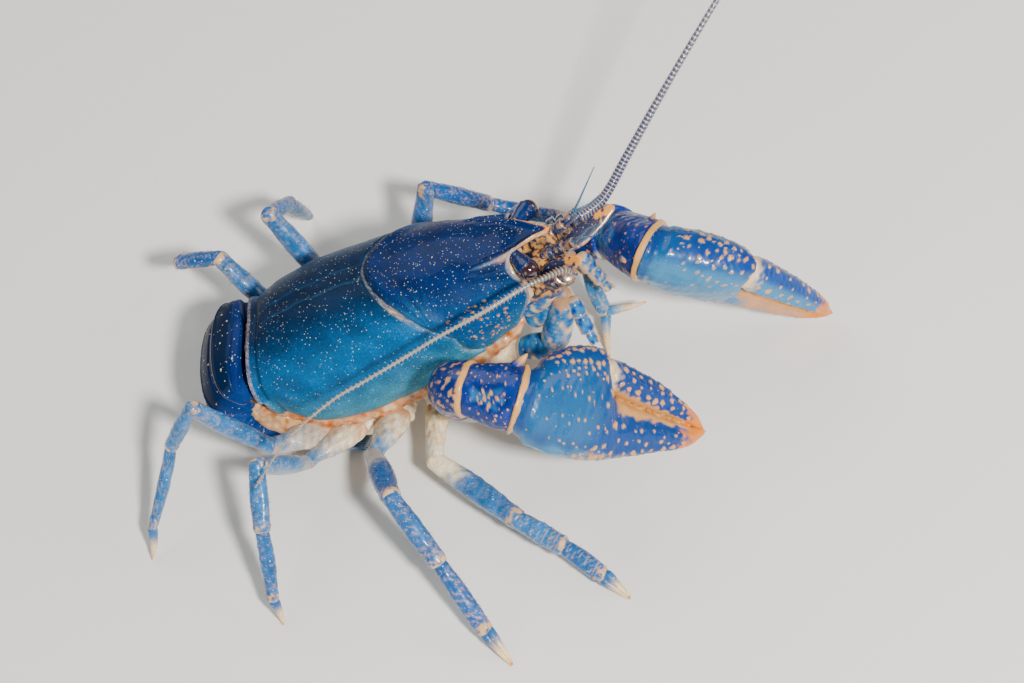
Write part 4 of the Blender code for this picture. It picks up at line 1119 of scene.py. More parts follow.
class CRAYFISH_OT_legs(bpy.types.Operator):
    """Build the eight walking legs."""
    bl_idname = "crayfish.legs"
    bl_label = "Walking legs"

    def execute(self, context):
        """Make one piece for each leg."""
        # The legs' white dots are partly their own pale specks and partly painted glints.
        finish = shell_finish("leg_shell", dot="white", pitch=2400.0, dot_size=0.14, clouds=0.45,
                              grain=0.5, roughness=0.34, coat=0.4, relief=0.7, subsurface=0.08)
        for name, (root, stretches) in LEGS.items():
            leg, tuft = leg_piece(name, root, stretches)
            finish_piece("walking_" + name, leg, finish, (name + "_upper", name + "_lower"))
            finish_hairs("hairs_" + name, tuft)
        return {"FINISHED"}


# Great claws: root, then base, arm, wrist and claw as (length, azimuth, elevation)
CLAW_ARMS = {
    "right": ((21.0, -6.2, -13.4), ((3.6, -94, 6), (9.8, -112, 71), (7.8, -23, -1), (22.4, 9, -42))),
    "left": ((21.0, 6.2, -13.0), ((4.7, 34, 13), (12.3, -10, 25), (8.5, -50, 19), (21.6, -3, -42))),
}
INNER_EDGE = {"right": (0.17, 0.82, 0.55), "left": (0.19, -0.34, 0.92)}
CLAW_SQUARENESS = 2.25
PALM_STATIONS = (-1.0, 0.2, 1.3, 3.5, 6.1, 8.6, 9.9, 12.8, 16.1, 19.0, 21.0, 22.2)
PALM_INNER = (3.0, 3.35, 4.4, 5.7, 6.5, 6.4, 5.4, 4.9, 4.0, 2.6, 1.5, 0.4)
PALM_OUTER = (-3.1, -3.5, -4.4, -4.9, -5.1, -5.0, -4.8, -4.1, -3.3, -2.5, -1.8, -0.9)
PALM_DEEP = (2.9, 3.05, 3.15, 3.25, 3.1, 2.65, 2.1, 1.65, 1.4, 1.1, 0.8, 0.4)
FINGER_START, FINGER_END = 9.6, 21.7
THUMB_STATIONS = (9.0, 9.9, 12.8, 16.1, 19.0, 21.0, 22.2)
THUMB_INNER = (5.6, 5.7, 5.0, 4.0, 2.6, 1.5, 0.3)
THUMB_DEEP = (1.6, 1.85, 1.65, 1.35, 1.0, 0.7, 0.3)
ARM_SHAPE = ((0.0, 1.4), (0.12, 1.8), (0.4, 2.5), (0.62, 2.85), (0.88, 2.82), (0.94, 3.0),
             (0.985, 2.98), (1.0, 2.8))
WRIST_SHAPE = ((0.0, 0.08, 0.3, 0.6, 0.83, 0.88, 0.95, 1.0),
               (2.75, 2.85, 3.1, 3.4, 3.5, 3.6, 3.52, 3.35))


def gap_line(s):
    """Return the height of the line between the two fingers."""
    return 2.1 - 2.2 * (np.maximum(s - FINGER_START, 0.0) / 12.6) ** 0.8


class ClawFrame:
    """Joints and directions of one great claw."""

    def __init__(self, side):
        """Place the joints from the shoulder to the finger tips."""
        root, stretches = CLAW_ARMS[side]
        self.outward = SIDES[side]
        self.joints = [world(root)]
        for length, azimuth, elevation in stretches:
            self.joints.append(self.joints[-1] + heading(azimuth, elevation) * length)
        self.shoulder = world((root[0], self.outward * 3.2, root[2] + 0.4))
        self.start = world((root[0], self.outward * ROOT_SIDE, root[2] + 0.2))
        p = self.joints
        self.hinge = unit(np.cross(p[3] - p[2], p[4] - p[3]))
        self.arm_axis, self.wrist_axis, self.axis = (unit(p[k + 1] - p[k]) for k in (1, 2, 3))
        self.inner = square_to(np.array(INNER_EDGE[side]), self.axis)
        self.dorsal = np.cross(self.inner, self.axis) * self.outward

    def rings(self, s, middle, half, deep, columns):
        """Return rings of the palm or a finger at distances from the wrist, and their middles."""
        centres = self.joints[3] + self.axis * s[:, None] + self.inner * middle[:, None]
        return tube(centres, self.inner, self.dorsal, half, deep, columns, CLAW_SQUARENESS), centres

    def mitre(self, points, centres, across, inner):
        """Return how far points move along their length to meet the wrist joint on its slant."""
        off = points - centres[:, None]
        slant = dot(off, across) / (1.0 + float(self.wrist_axis @ self.axis))
        return -0.85 * slant + 0.1 * dot(off, inner)


def spot_rows(rng, s, columns, rows):
    """Return (row, column, radius) tubercles along lines of (s, angle) ends, count and radius."""
    spots = []
    for (s0, a0), (s1, a1), count, radius in rows:
        for k in range(count):
            u = (k + rng.uniform(-0.22, 0.22)) / max(count - 1, 1)
            row = nearest(s, s0 + (s1 - s0) * u)
            angle = a0 + (a1 - a0) * u + rng.uniform(-6, 6)
            column = int(round(angle / (360 / columns))) % columns
            spots.append((row, column, radius * rng.uniform(0.5, 0.95)))
    return spots


def below_rows(rows, fewer, smaller):
    """Return tubercle rows turned to the underside of a finger."""
    return [((s0, 360 - a0), (s1, 360 - a1), count - fewer, radius * smaller)
            for (s0, a0), (s1, a1), count, radius in rows]


def tooth_rows(s, first, pitch, count, columns, large):
    """Return the teeth of a finger's biting edge, every third one larger and set aside."""
    return [(nearest(s, first + pitch * k), columns[k % 3 == 0], 0.3 if k % 3 else large)
            for k in range(count)]


# Darkening of the claws' blues: partly a deeper blue on both claws, partly painted shade that makes the
# near right claw, which gets the brighter light, darker than the far left one.
CLAW_DEPTH_AND_PAINTED_SHADE = {"right": 0.5, "left": 0.65}
PALM_SPARSE = (
    ((1.6, 50), (7.6, 62), 9, 0.17), ((1.8, 80), (8.2, 88), 9, 0.13),
    ((2.0, 105), (8.6, 118), 8, 0.15), ((2.5, 135), (9.5, 140), 9, 0.16),
    ((1.5, 20), (7.5, 12), 8, 0.18))
PALM_DENSE = (
    ((2.0, 22), (8.6, 24), 9, 0.34), ((2.2, 41), (8.6, 45), 9, 0.3), ((3.4, 57), (8.2, 60), 6, 0.26),
    ((1.6, 5), (8.3, 3), 9, 0.28), ((8.4, 88), (19.0, 90), 9, 0.24), ((7.6, 112), (19.0, 114), 9, 0.27),
    ((8.0, 138), (19.4, 140), 10, 0.34), ((6.6, 156), (16.0, 160), 8, 0.3),
    ((6.2, 168), (10.5, 172), 5, 0.6), ((8.2, 66), (9.9, 84), 3, 0.42))
THUMB_SPOTS = (
    ((10.8, 22), (19.0, 18), 6, 0.28), ((10.6, 58), (19.4, 54), 8, 0.4),
    ((11.4, 88), (18.6, 84), 6, 0.25), ((10.4, 112), (19.6, 108), 9, 0.36))
WRIST_SPOTS = (
    ((2.0, 60), (7.5, 60), 4, 0.13), ((2.4, 30), (7.6, 26), 5, 0.2), ((2.0, 130), (7.8, 140), 5, 0.13),
    ((4.2, 92), (6.0, 104), 3, 0.2), ((5.0, 112), (6.8, 84), 3, 0.24), ((2.2, 165), (7.8, 170), 5, 0.14),
    ((2.0, 350), (7.8, 345), 5, 0.2), ((3.0, 200), (7.5, 205), 4, 0.14))


def palm_bm(side, claw):
    """Return the palm with its fixed finger."""
    rng = np.random.default_rng(41 if side == "right" else 42)
    columns, cap = 132, 14
    s = np.concatenate([np.linspace(-1.1, 1.5, 28)[:-1], np.linspace(1.5, 8.3, 66)[:-1],
                        np.linspace(8.3, 10.6, 44)[:-1], np.linspace(10.6, 21.6, 110)[:-1],
                        22.35 - 0.75 * np.cos(np.linspace(0, 0.5 * math.pi, cap))])
    end = np.sqrt(np.clip(1 - (np.maximum(s - 21.6, 0) / 0.75) ** 2, 0, 1))
    ends = end * np.clip((s + 1.1) / 0.5, 0, 1) ** 0.5
    high = mix(curve(PALM_STATIONS, PALM_INNER, s), gap_line(s) - 0.1, ease(8.9, 10.1, s))
    low = curve(PALM_STATIONS, PALM_OUTER, s)
    deep = curve(PALM_STATIONS, PALM_DEEP, s) * (1.0 + 0.06 * ease(8.0, 10.0, s))
    middle = 0.5 * (high + low) + 0.35 * ease(19.5, 22.3, s)
    points, centres = claw.rings(s, middle, 0.5 * (high - low) * ends, deep * ends, columns)
    angle = np.degrees(ring_angles(columns))[None, :]
    away = np.where(angle > 180, 360 - angle, angle)
    length = s[:, None]
    normal = grid_normals(points, points - centres[:, None])
    mitre = claw.mitre(points, centres, claw.wrist_axis, claw.inner)
    points = push(points, claw.axis, mitre * ease(3.5, 0.2, length))
    finger = ease(10.0, 12.5, length) * ease(21.5, 19.0, length)
    grooves = bump(away - 62, 12) + bump(away - 120, 12)
    lift = 0.2 * bump(away - 92, 14) * finger - 0.12 * grooves * finger
    lift = lift - 0.25 * bump(length - 9.2, 0.7) * ease(80, 50, away) * ease(5, 20, away)
    lift = lift + 0.05 * uneven(points, 3.0, 43) + 0.018 * uneven(points, 0.8, 44)
    lift = lift - 0.15 * bump(length - 0.7, 0.3)
    points = push(points, normal, lift * ends[:, None])
    spots = spot_rows(rng, s, columns, [*PALM_SPARSE, *PALM_DENSE, *below_rows(PALM_DENSE[:8], 2, 0.8)])
    points, mask = raise_spots(points, normal, spots, sizes().spot_height / MM)
    points, teeth = raise_spots(points, normal, tooth_rows(s, 11.2, 0.82, 12, (0, 2), 0.42), 0.22)
    royal, sky, cream, orange = shade("royal"), shade("sky"), shade("cream"), shade("orange")
    # Painted shade: the palm's blues are darkened by side, the near right claw most.
    cobalt = shade("cobalt") * CLAW_DEPTH_AND_PAINTED_SHADE[side]
    azure = shade("azure") * mix(1.0, CLAW_DEPTH_AND_PAINTED_SHADE[side], 0.6) * np.array((1.0, 1.15, 1.0))
    below = ease(185, 235, angle) * ease(355, 310, angle)
    tone = mix(azure, cobalt, 0.85 * ease(5.5, 10.0, length + 1.2 * uneven(points, 3.4, 45)))
    tone = mix(tone, royal, 0.6 * ease(50, 15, away) * ease(0.5, 3, length))
    tone = mix(tone, mix(azure, sky, 0.3), 0.7 * bump(away - 110, 35) * ease(9.5, 5.0, length))
    tone = mix(tone, sky, 0.9 * ease(138, 172, away + 6 * uneven(points, 2.0, 46)) * ease(17, 9, length))
    tone = mix(tone, sky, 0.8 * below)
    inner_edge = ease(72, 60, away + 6 * uneven(points, 0.9, 47) + 1.9 * (length - 10))
    tone = mix(tone, mix(cream, shade("tan"), 0.35), 0.92 * inner_edge * ease(10.0, 10.7, length))
    tone = mix(tone, cream, 0.5 * ease(0.35, 0.75, uneven(points, 1.6, 48)) * bump(away - 160, 18)
               * bump(length - 9.5, 3.5))
    tone = mix(tone, mix(royal, shade("navy"), 0.4), 0.6 * ease(0.9, 0.3, length))
    tone = mix(tone, cream, 0.92 * mask)
    tone = mix(tone, mix(cream, orange, 0.3), 0.9 * teeth)
    if side == "left":
        tone = mix(tone, mix(cream, orange, 0.4), 0.75 * ease(10.5, 13.0, length) * below)
    tip = ease(18.6, 20.4, length + 0.5 * uneven(points, 1.2, 49))
    return sheet(points, mix(tone, orange, 0.95 * tip), 0.16 * (1 - tip))


def thumb_bm(side, claw):
    """Return the movable finger."""
    rng = np.random.default_rng(51 if side == "right" else 52)
    columns = 110
    s = np.concatenate([FINGER_START - 0.9 * np.cos(np.linspace(0, 0.5 * math.pi, 14)),
                        np.linspace(FINGER_START, FINGER_END, 150)[1:],
                        FINGER_END + 0.8 * np.sin(np.linspace(0, 0.5 * math.pi, 12))[1:]])
    past = np.maximum(FINGER_START - s, 0) / 0.9 + np.maximum(s - FINGER_END, 0) / 0.8
    ends = np.sqrt(np.clip(1 - past ** 2, 0, 1))
    high, low = curve(THUMB_STATIONS, THUMB_INNER, s), gap_line(s) + 0.1
    deep = curve(THUMB_STATIONS, THUMB_DEEP, s)
    middle = 0.5 * (high + low) - 0.25 * ease(19.5, 22.5, s)
    points, centres = claw.rings(s, middle, 0.5 * (high - low) * ends, deep * ends, columns)
    angle = np.degrees(ring_angles(columns))[None, :]
    away = np.where(angle > 180, 360 - angle, angle)
    length = s[:, None]
    normal = grid_normals(points, points - centres[:, None])
    body = ease(9.8, 11.5, length) * ease(21.5, 19.5, length)
    lift = 0.16 * bump(away - 84, 13) * body - 0.14 * (bump(away - 57, 11) + bump(away - 113, 11)) * body
    lift = lift + 0.02 * uneven(points, 0.8, 53)
    points = push(points, normal, lift * ends[:, None])
    spots = spot_rows(rng, s, columns, [*THUMB_SPOTS, *below_rows(THUMB_SPOTS, 1, 0.85)])
    points, mask = raise_spots(points, normal, spots, sizes().spot_height / MM)
    half_turn = columns // 2
    tooth_spots = tooth_rows(s, 11.6, 0.85, 11, (half_turn, half_turn), 0.4)
    points, teeth = raise_spots(points, normal, tooth_spots, 0.2)
    # Painted shade: the finger's blues are darkened by side, the near right claw most.
    cobalt, azure = shade("cobalt") * CLAW_DEPTH_AND_PAINTED_SHADE[side], shade("azure") * CLAW_DEPTH_AND_PAINTED_SHADE[side]
    cream, orange = shade("cream"), shade("orange")
    first = 200 if side == "right" else 235
    tone = mix(cobalt, azure, 0.35 * ease(0.0, 0.8, uneven(points, 2.6, 54)))
    tone = mix(tone, shade("sky"), 0.75 * ease(first, first + 40, angle) * ease(350, 310, angle))
    inner_edge = ease(124, 136, away + 6 * uneven(points, 0.9, 55) - 1.2 * (length - 10))
    tone = mix(tone, mix(cream, shade("tan"), 0.35), 0.92 * inner_edge)
    knuckle = ease(10.4, 9.5, length + 0.3 * uneven(points, 1.0, 57))
    tone = mix(tone, mix(shade("white"), cream, 0.35), 0.85 * knuckle)
    tone = mix(tone, cream, 0.92 * mask)
    tone = mix(tone, mix(cream, orange, 0.3), 0.9 * teeth)
    tip = ease(18.8, 20.6, length + 0.5 * uneven(points, 1.2, 56))
    return sheet(points, mix(tone, orange, 0.95 * tip), 0.12 * (1 - tip))


def bent_article(knots, hinge, profile, paint):
    """Return an article that bends along floor-frame knots."""
    path, places = sweep_path(knots, 0.09)
    t = places / places[-1]
    radius = curve(*zip(*profile), t) * round_ends(t, 0.045)
    tangent = unit(np.gradient(path, axis=0))
    across = square_to(hinge + 0 * tangent, tangent)
    points = tube(path, across, np.cross(across, tangent), radius, radius * 0.97, 72, 2.1)
    normal = unit(points - path[:, None] + 1e-9)
    points = push(points, normal, 0.04 * uneven(points, 1.4, 0) * (radius > 0.05)[:, None])
    return painted(points, normal, t, paint)


def arm_bms(side, claw):
    """Return the upper arm with its root, rim and spine, and the hairs below its far end."""
    p, hinge, arm_axis, fore_axis = claw.joints, claw.hinge, claw.arm_axis, claw.wrist_axis
    royal, sky, cream, white = (shade(name) for name in ("royal", "sky", "cream", "white"))
    dark = mix(royal, shade("navy"), 0.45)
    pale, pale_rim = mix(sky, white, 0.4), mix(white, sky, 0.4)

    def arm_paint(t, facing, points):
        tone = mix(pale, dark, ease(0.15, 0.5, t + 0.3 * facing))
        tone = mix(tone, cream, 0.8 * ease(0.55, 0.85, uneven(points, 0.9, 61)) * ease(0.3, 0.6, t))
        height = points[..., 2] - points[..., 2].mean(axis=1, keepdims=True)
        rim = cream if side == "right" else mix(royal, pale_rim, ease(0.2, -1.0, height))
        tone = mix(tone, rim, 0.95 * ease(0.93, 0.94, t + 0.008 * uneven(points, 1.0, 62)))
        return tone, 0.35

    skin = article(claw.shoulder, p[0], hinge, ((0.0, 1.6), (0.5, 1.9), (1.0, 1.5)),
                   plain(mix(white, shade("tan"), 0.45)), relief=0.08)
    base = article(mix(claw.start, p[0], 0.5), p[1], hinge,
                   ((0.0, 1.35), (0.3, 1.6), (0.7, 1.7), (1.0, 1.6)), plain(pale_rim),
                   caps=(0.6, 0.6), relief=0.05)
    knots = (p[1], mix(p[1], p[2], 0.35), p[2] - arm_axis * 2.0 - fore_axis * 0.1,
             p[2] - arm_axis * 0.5 + fore_axis * 0.2, p[2] + fore_axis * 1.1, p[2] + fore_axis * 2.3)
    arm = bent_article(knots, hinge, ARM_SHAPE, arm_paint)
    thorn = spine(p[2] + fore_axis * 2.1 - arm_axis * 2.3, fore_axis * 0.8 - arm_axis * 0.55, 1.7, 0.62,
                  mix(white, sky, 0.5), shade("orange"))
    share = np.linspace(0.0, 1.0, 46)[:, None]
    roots = (p[2] - arm_axis * 2.6 + fore_axis * (2.2 + 0.5 * np.sin(share * 40))
             + unit(np.cross(arm_axis, fore_axis)) * (share * 4.4 - 2.2))
    ways = np.broadcast_to(unit(-fore_axis * 0.2 - arm_axis) + 0.5 * fore_axis, roots.shape)
    beard = bristle_tuft(roots, ways, 1.3 * sizes().bristle / MM, "white", 64, 0.4)
    return merge([skin, base, thorn, arm]), beard


def wrist_bm(side, claw):
    """Return the wrist with its furrow, rim, spots and spine."""
    rng = np.random.default_rng(63)
    p, axis, columns = claw.joints, claw.wrist_axis, 110
    royal, azure, sky, cream, white = (
        shade(name) for name in ("royal", "azure", "sky", "cream", "white"))
    start, end = p[2] + axis * 2.0, p[3]
    length = np.linalg.norm(end - start)
    inner = square_to(claw.inner, axis)
    dorsal = np.cross(inner, axis) * claw.outward
    place, girth = rounded_stations(length - 0.2, 0.5, 0.5, 100, 12)
    t = place / length
    share = t[:, None]
    radius = curve(*WRIST_SHAPE, t) * girth * (1.0 if side == "right" else 0.95)
    centres = start + axis * place[:, None]
    points = tube(centres, inner, dorsal, radius, radius * 0.97, columns, 2.15)
    angle = np.degrees(ring_angles(columns))[None, :]
    normal = grid_normals(points, points - centres[:, None])
    mitre = claw.mitre(points, centres, claw.axis, inner)
    points = push(points, axis, mitre * ease(0.15, 0.9, share))
    top = np.abs((angle - 100.0 + 180) % 360 - 180)
    furrow = bump(top - 7 * np.sin(share * 9), 9) * ease(0.12, 0.25, share) * ease(0.78, 0.62, share)
    branch = bump(top - 60 * (share - 0.35), 9) * ease(0.3, 0.4, share) * ease(0.72, 0.6, share)
    furrow = np.maximum(furrow, 0.6 * branch)
    lift = -0.3 * furrow + 0.05 * uneven(points, 2.2, 64) + 0.02 * uneven(points, 0.7, 65)
    lift = lift + 0.12 * bump(share - 0.9, 0.035) - 0.12 * bump(share - 0.845, 0.02)
    points = push(points, normal, lift * girth[:, None])
    points, mask = raise_spots(points, normal, spot_rows(rng, t * 10, columns, WRIST_SPOTS), 0.04)
    below = ease(185, 230, angle) * ease(350, 310, angle)
    if side == "left":
        below = (1.15 * ease(250, 285, angle) * ease(352, 325, angle)
                 * ease(0.38, 0.12, share + 0.08 * uneven(points, 2.0, 69)))
    specks = ease(0.3, 0.8, uneven(points, 0.7, 67)
                  + 1.2 * bump(share - 0.42, 0.12) * bump(top, 18) - 0.75)
    tone = mix(mix(royal, shade("navy"), 0.4), royal, 0.5 + 0.5 * uneven(points, 2.5, 66))
    tone = mix(tone, mix(azure, sky, 0.6), 0.85 * below)
    tone = mix(tone, mix(azure, sky, 0.35), 0.85 * ease(0.25, 0.8, furrow))
    tone = mix(tone, cream, 0.9 * specks * ease(0.15, 0.3, share) * ease(0.8, 0.7, share))
    tone = mix(tone, cream, 0.9 * mask)
    tone = mix(tone, cream, 0.95 * ease(0.855, 0.87, share + 0.012 * uneven(points, 1.0, 68)))
    tone = mix(tone, mix(white, sky, 0.45) * 0.85, 0.9 * ease(0.985, 0.995, share))
    small = 1.0 if side == "right" else 0.6
    inner_spine = spine(end - axis * 1.2 + unit(inner * 0.95 + dorsal * 0.3) * 3.1,
                        inner * 0.9 + axis * 0.6 + dorsal * 0.15, 2.1 * small, 0.75 * small,
                        royal, cream)
    lower_spine = spine(end - axis * 1.1 - dorsal * 3.0, axis * 0.9 - dorsal * 0.4, 1.3, 0.5,
                        azure, cream)
    return merge([sheet(points, tone, 0.18), inner_spine, lower_spine])


class CRAYFISH_OT_claws(bpy.types.Operator):
    """Build both great claws with their arms."""
    bl_idname = "crayfish.claws"
    bl_label = "Great claws"

    def execute(self, context):
        """Make the arm, wrist, palm and movable finger of each claw."""
        finish = shell_finish("claw_shell", pitch=1500.0, dot_size=0.16, clouds=0.22, grain=0.2,
                              roughness=0.36, coat=0.4, relief=0.35)
        for side in CLAW_ARMS:
            claw = ClawFrame(side)
            arm, beard = arm_bms(side, claw)
            finish_piece("arm_" + side, arm, finish, ("claw_arm_" + side,))
            finish_hairs("arm_hairs_" + side, beard)
            skin = bead(claw.joints[3] + claw.axis * 9.3 + claw.inner * 3.9, claw.axis, 1.75,
                        mix(shade("white"), shade("cream"), 0.35))
            for part, bm in (("wrist_", wrist_bm(side, claw)), ("palm_", palm_bm(side, claw)),
                             ("thumb_", merge([thumb_bm(side, claw), skin]))):
                finish_piece(part + side, bm, finish, ("claw_" + part + side,))
        return {"FINISHED"}


# Tail fan
FAN_CLEARANCE = 0.25


class CRAYFISH_OT_tail_fan(bpy.types.Operator):
    """Build the middle plate and the side paddles, folded forward."""
    bl_idname = "crayfish.tail_fan"
    bl_label = "Tail fan"

    def execute(self, context):
        """Make the three plates with ridges and fringed edges."""
        finish = shell_finish("tail_fan_shell", pitch=1500.0, dot_size=0.16, clouds=0.3, grain=0.25)
        centre, outward, _ = tail_frame(CURL_ANGLE)
        edge = centre + outward * (CURL_RADIUS - 0.6)
        start = np.array((edge[0] + 0.9, edge[1], 0.95))
        plates = [("plate", start, unit((1.0, 0.0, 0.07)), LEFTWARD, 8.6, 0.62,
                   ((0.0, 2.2), (0.3, 2.6), (0.75, 2.55), (1.0, 2.0)))]
        for side, out in SIDES.items():
            plates.append(("paddle_" + side, start + LEFTWARD * 3.4 * out,
                           unit((0.92, 0.38 * out, 0.06)), unit((-0.38 * out, 0.92, 0.0)), 8.2, 0.68,
                           ((0.0, 0.9), (0.25, 1.5), (0.7, 1.95), (1.0, 1.5))))
        for name, root, ahead, wide, length, seam, shape in plates:
            place, girth = rounded_stations(length, 0.3, 0.7, 60, 10)
            half = curve(*zip(*shape), place / length) * girth
            centres = root + ahead * place[:, None]
            points = tube(centres, wide, UPWARD, half, 0.38 * girth ** 0.5, 72, 3.0)
            reach = dot(points - root, wide) / np.maximum(half, 0.2)[:, None]
            along = place[:, None] / length
            ridges = (0.07 * bump(reach, 0.12) + 0.05 * bump(np.abs(reach) - 0.5, 0.1)
                      - 0.1 * bump(along - seam, 0.02))
            points[..., 2] += np.sign(points[..., 2] - centres[:, None, 2]) * ridges * girth[:, None]
            points[..., 2] = np.maximum(points[..., 2], FAN_CLEARANCE)
            rim = np.maximum(ease(0.86, 0.97, np.abs(reach)), ease(0.95, 1.03, along))
            tone = mix(shade("navy"), shade("sea"), 0.4 + 0.2 * uneven(points, 2.0, 71))
            tone = mix(tone, mix(shade("sky"), shade("tan"), 0.3), 0.6 * rim)
            roots = points[-14:-6:2, 2::3].reshape(-1, 3)
            fringe = bristle_tuft(roots, np.broadcast_to(ahead, roots.shape),
                                  0.8 * sizes().bristle / MM, "sky", 72, 0.25)
            finish_piece("fan_" + name, sheet(points, tone, 0.3), finish, ("tail_" + name,))
            finish_hairs("fan_" + name + "_fringe", fringe)
        return {"FINISHED"}


# Head
def sweep_path(knots, step):
    """Return evenly spaced points on a smooth curve through the knots, and lengths along it."""
    knots = np.asarray(knots, float)
    dense = curve(np.linspace(0, 1, len(knots)), knots, np.linspace(0, 1, 1500))
    length = np.concatenate([[0.0], np.cumsum(np.linalg.norm(np.diff(dense, axis=0), axis=1))])
    places = np.linspace(0.0, length[-1], max(int(length[-1] / step), 4))
    return np.stack([np.interp(places, length, dense[:, k]) for k in range(3)], -1), places


def rings_along(path, radii, columns):
    """Return rows of rings square to a path."""
    tangent = unit(np.gradient(path, axis=0))
    across = square_to(UPWARD + 0 * tangent, tangent)
    return tube(path, across, np.cross(tangent, across), radii, radii, columns)


def head_part(knots, profile, paint, step=0.1, flat=1.0, seed=0):
    """Return a bent head part through body-frame knots, with round ends."""
    path, places = sweep_path(world(knots), step)
    t = places / places[-1]
    radius = curve(*zip(*profile), t) * round_ends(t, 0.07)
    points = rings_along(path, radius, 28)
    points = path[:, None] + (points - path[:, None]) * np.array((1.0, 1.0, flat))
    normal = unit(points - path[:, None] + 1e-9)
    points = push(points, normal, 0.02 * uneven(points, 0.8, seed) * (radius > 0.05)[:, None])
    return painted(points, normal, t, paint)


FEELERS = {
    "right": ((36.65, -5.8, -2.7), (36.3, -6.1, -1.65), (34.5, -7.3, -0.6), (32.4, -8.4, 0.1),
              (28.4, -10.2, 0.6), (23.4, -11.4, 0.6), (18.5, -12.2, 0.0), (14.1, -12.9, -0.5),
              (9.9, -13.7, -0.9), (4.2, -15.7, -2.1), (-0.9, -18.4, -4.5)),
    "left": ((36.3, 4.3, -5.6), (39.0, 6.3, -6.1), (42.6, 9.5, -4.6), (46.8, 12.9, -2.6),
             (51.4, 16.5, -0.5), (56.2, 20.4, 1.5), (60.8, 24.6, 3.0), (64.8, 29.2, 3.9),
             (68.2, 34.2, 4.0)),
}
FEELER_BASES = {
    "right": ((33.0, -2.8, -5.4), (34.5, -3.6, -4.8), (35.7, -4.8, -3.7), (36.5, -5.7, -2.7)),
    "left": ((33.2, 3.0, -5.0), (34.4, 3.4, -5.1), (35.6, 3.9, -5.15), (36.6, 4.5, -5.3)),
}
SCALES = {
    "right": ((32.6, -3.9, -3.9), (37.5, -4.3, -2.7), (0.2, -0.5, 0.85)),
    "left": ((33.9, 2.0, -6.9), (39.4, 5.0, -6.7), (0.2, -0.6, 0.8)),
}
FEELER_SHAPE = {"right": (0.36, 0.24, 0.16, 0.12, 0.07), "left": (0.62, 0.5, 0.36, 0.27, 0.2)}


def slate_paint(seed, cream_share=0.3):
    """Return the dark speckled paint of the feeler bases, cream at their ends."""
    def paint(t, facing, points):
        spots = uneven(points, 0.9, seed)
        tone = mix(shade("slate"), mix(shade("slate"), shade("azure"), 0.25), ease(-0.3, 0.7, facing))
        tone = mix(tone, shade("cream"), cream_share * ease(0.35, 0.7, spots))
        rim = bump(t + 0.03 * spots - 0.9, 0.03) * ease(-0.6, 0.4, uneven(points, 1.3, seed + 1))
        tone = mix(tone, mix(shade("cream"), shade("orange"), 0.35), 0.8 * rim)
        return tone, 0.9
    return paint


BASE_SHAPE = ((0.0, 0.78), (0.25, 1.0), (0.8, 1.02), (0.92, 1.08), (1.0, 0.95))


def feeler_base_bm(side):
    """Return the stout base of one long feeler, with its scale."""
    path = curve(np.linspace(0, 1, 4), FEELER_BASES[side], np.linspace(0, 1, 31))
    parts = []
    for k, (first, last, girth) in enumerate(((0, 10, 1.35), (10, 19, 1.15), (19, 30, 0.88))):
        profile = [(t, r * girth) for t, r in BASE_SHAPE]
        parts.append(head_part(path[first:last + 1:2], profile, slate_paint(80 + k), step=0.05,
                               flat=0.92, seed=81 + k))
    root, tip, facing_way = (np.array(knot) for knot in SCALES[side])
    place, girth = rounded_stations(1.0, 0.02, 0.1, 40, 10)
    centre = world(root + (tip - root) * place[:, None])
    axis = unit(world(tip) - world(root))
    flat_way = square_to(tilted(facing_way), axis)
    wide = np.cross(axis, flat_way)
    half = curve((0.0, 0.3, 0.6, 0.85, 1.0), (0.7, 1.1, 1.0, 0.75, 0.5), place) * np.maximum(girth, 0.03)
    scale = tube(centre, wide, flat_way, half, 0.16 * girth + 0.02, 40, 2.6)
    rim = np.abs(dot(scale - centre[:, None], wide)) / np.maximum(half, 0.05)[:, None]
    ragged = 0.12 * uneven(scale, 0.8, 86)
    rim = np.maximum(0.75 * ease(0.85, 0.98, rim + ragged), ease(0.78, 0.84, place[:, None] + ragged))
    tone = mix(mix(shade("slate"), shade("head"), 0.3), mix(shade("orange"), shade("cream"), 0.45), rim)
    return merge([*parts, sheet(scale, tone, 0.85)])


def feeler_bms(side):
    """Return the three lengths of one ringed feeler, and its bristles."""
    right, columns = side == "right", 14
    rng = np.random.default_rng(91 if right else 92)
    path, places = sweep_path(world(FEELERS[side]), 0.055)
    t = places / places[-1]
    radius = curve((0.0, 0.12, 0.4, 0.75, 1.0), FEELER_SHAPE[side], t)
    pitch = sizes().ring_pitch / MM * (0.72 + 0.75 * t)
    phase = np.cumsum(np.gradient(places) / pitch)
    wave = phase % 1.0
    points = rings_along(path, radius * (0.92 + 0.1 * np.sin(math.pi * wave) ** 0.7), columns)
    pale = ease(0.62, 0.8, wave) * ease(1.02, 0.9, wave)
    slate, sky, white = shade("slate"), shade("sky"), shade("white")
    if right:
        dark, light, share = slate, mix(sky, white, 0.4), 0.25 + 0.9 * ease(0.0, 0.35, t)
    else:
        dark, light, share = mix(slate, shade("royal"), 0.4), mix(sky, white, 0.8), 0.05 + 0.3 * t
    tone = mix(dark, light, (share * 0.55 + 0.65 * pale)[:, None].clip(0, 1))
    tone = mix(tone, shade("cream"), (0.6 * pale * right)[:, None])
    lengths, bristles = [], []
    ring_rows = np.flatnonzero(np.diff(np.floor(phase + 0.15)) > 0)
    for k in range(3):
        first, last = k * len(path) // 3, min((k + 1) * len(path) // 3 + 1, len(path))
        rows = [first, *range(first, last), last - 1]
        lengths.append(sheet(points[rows], tone[rows]))
        roots, ways = [], []
        for row in ring_rows[(ring_rows >= first) & (ring_rows < last)]:
            ahead = unit(path[min(row + 1, len(path) - 1)] - path[row])
            for column in range(0, columns, 2):
                roots.append(points[row, column])
                ways.append(unit(points[row, column] - path[row]) + 0.5 * ahead)
        bristles.append(bristle_tuft(roots, ways, 0.34 if right else 0.26, "cream",
                                     int(rng.integers(1000)), 0.1, 0.04))
    return lengths, bristles


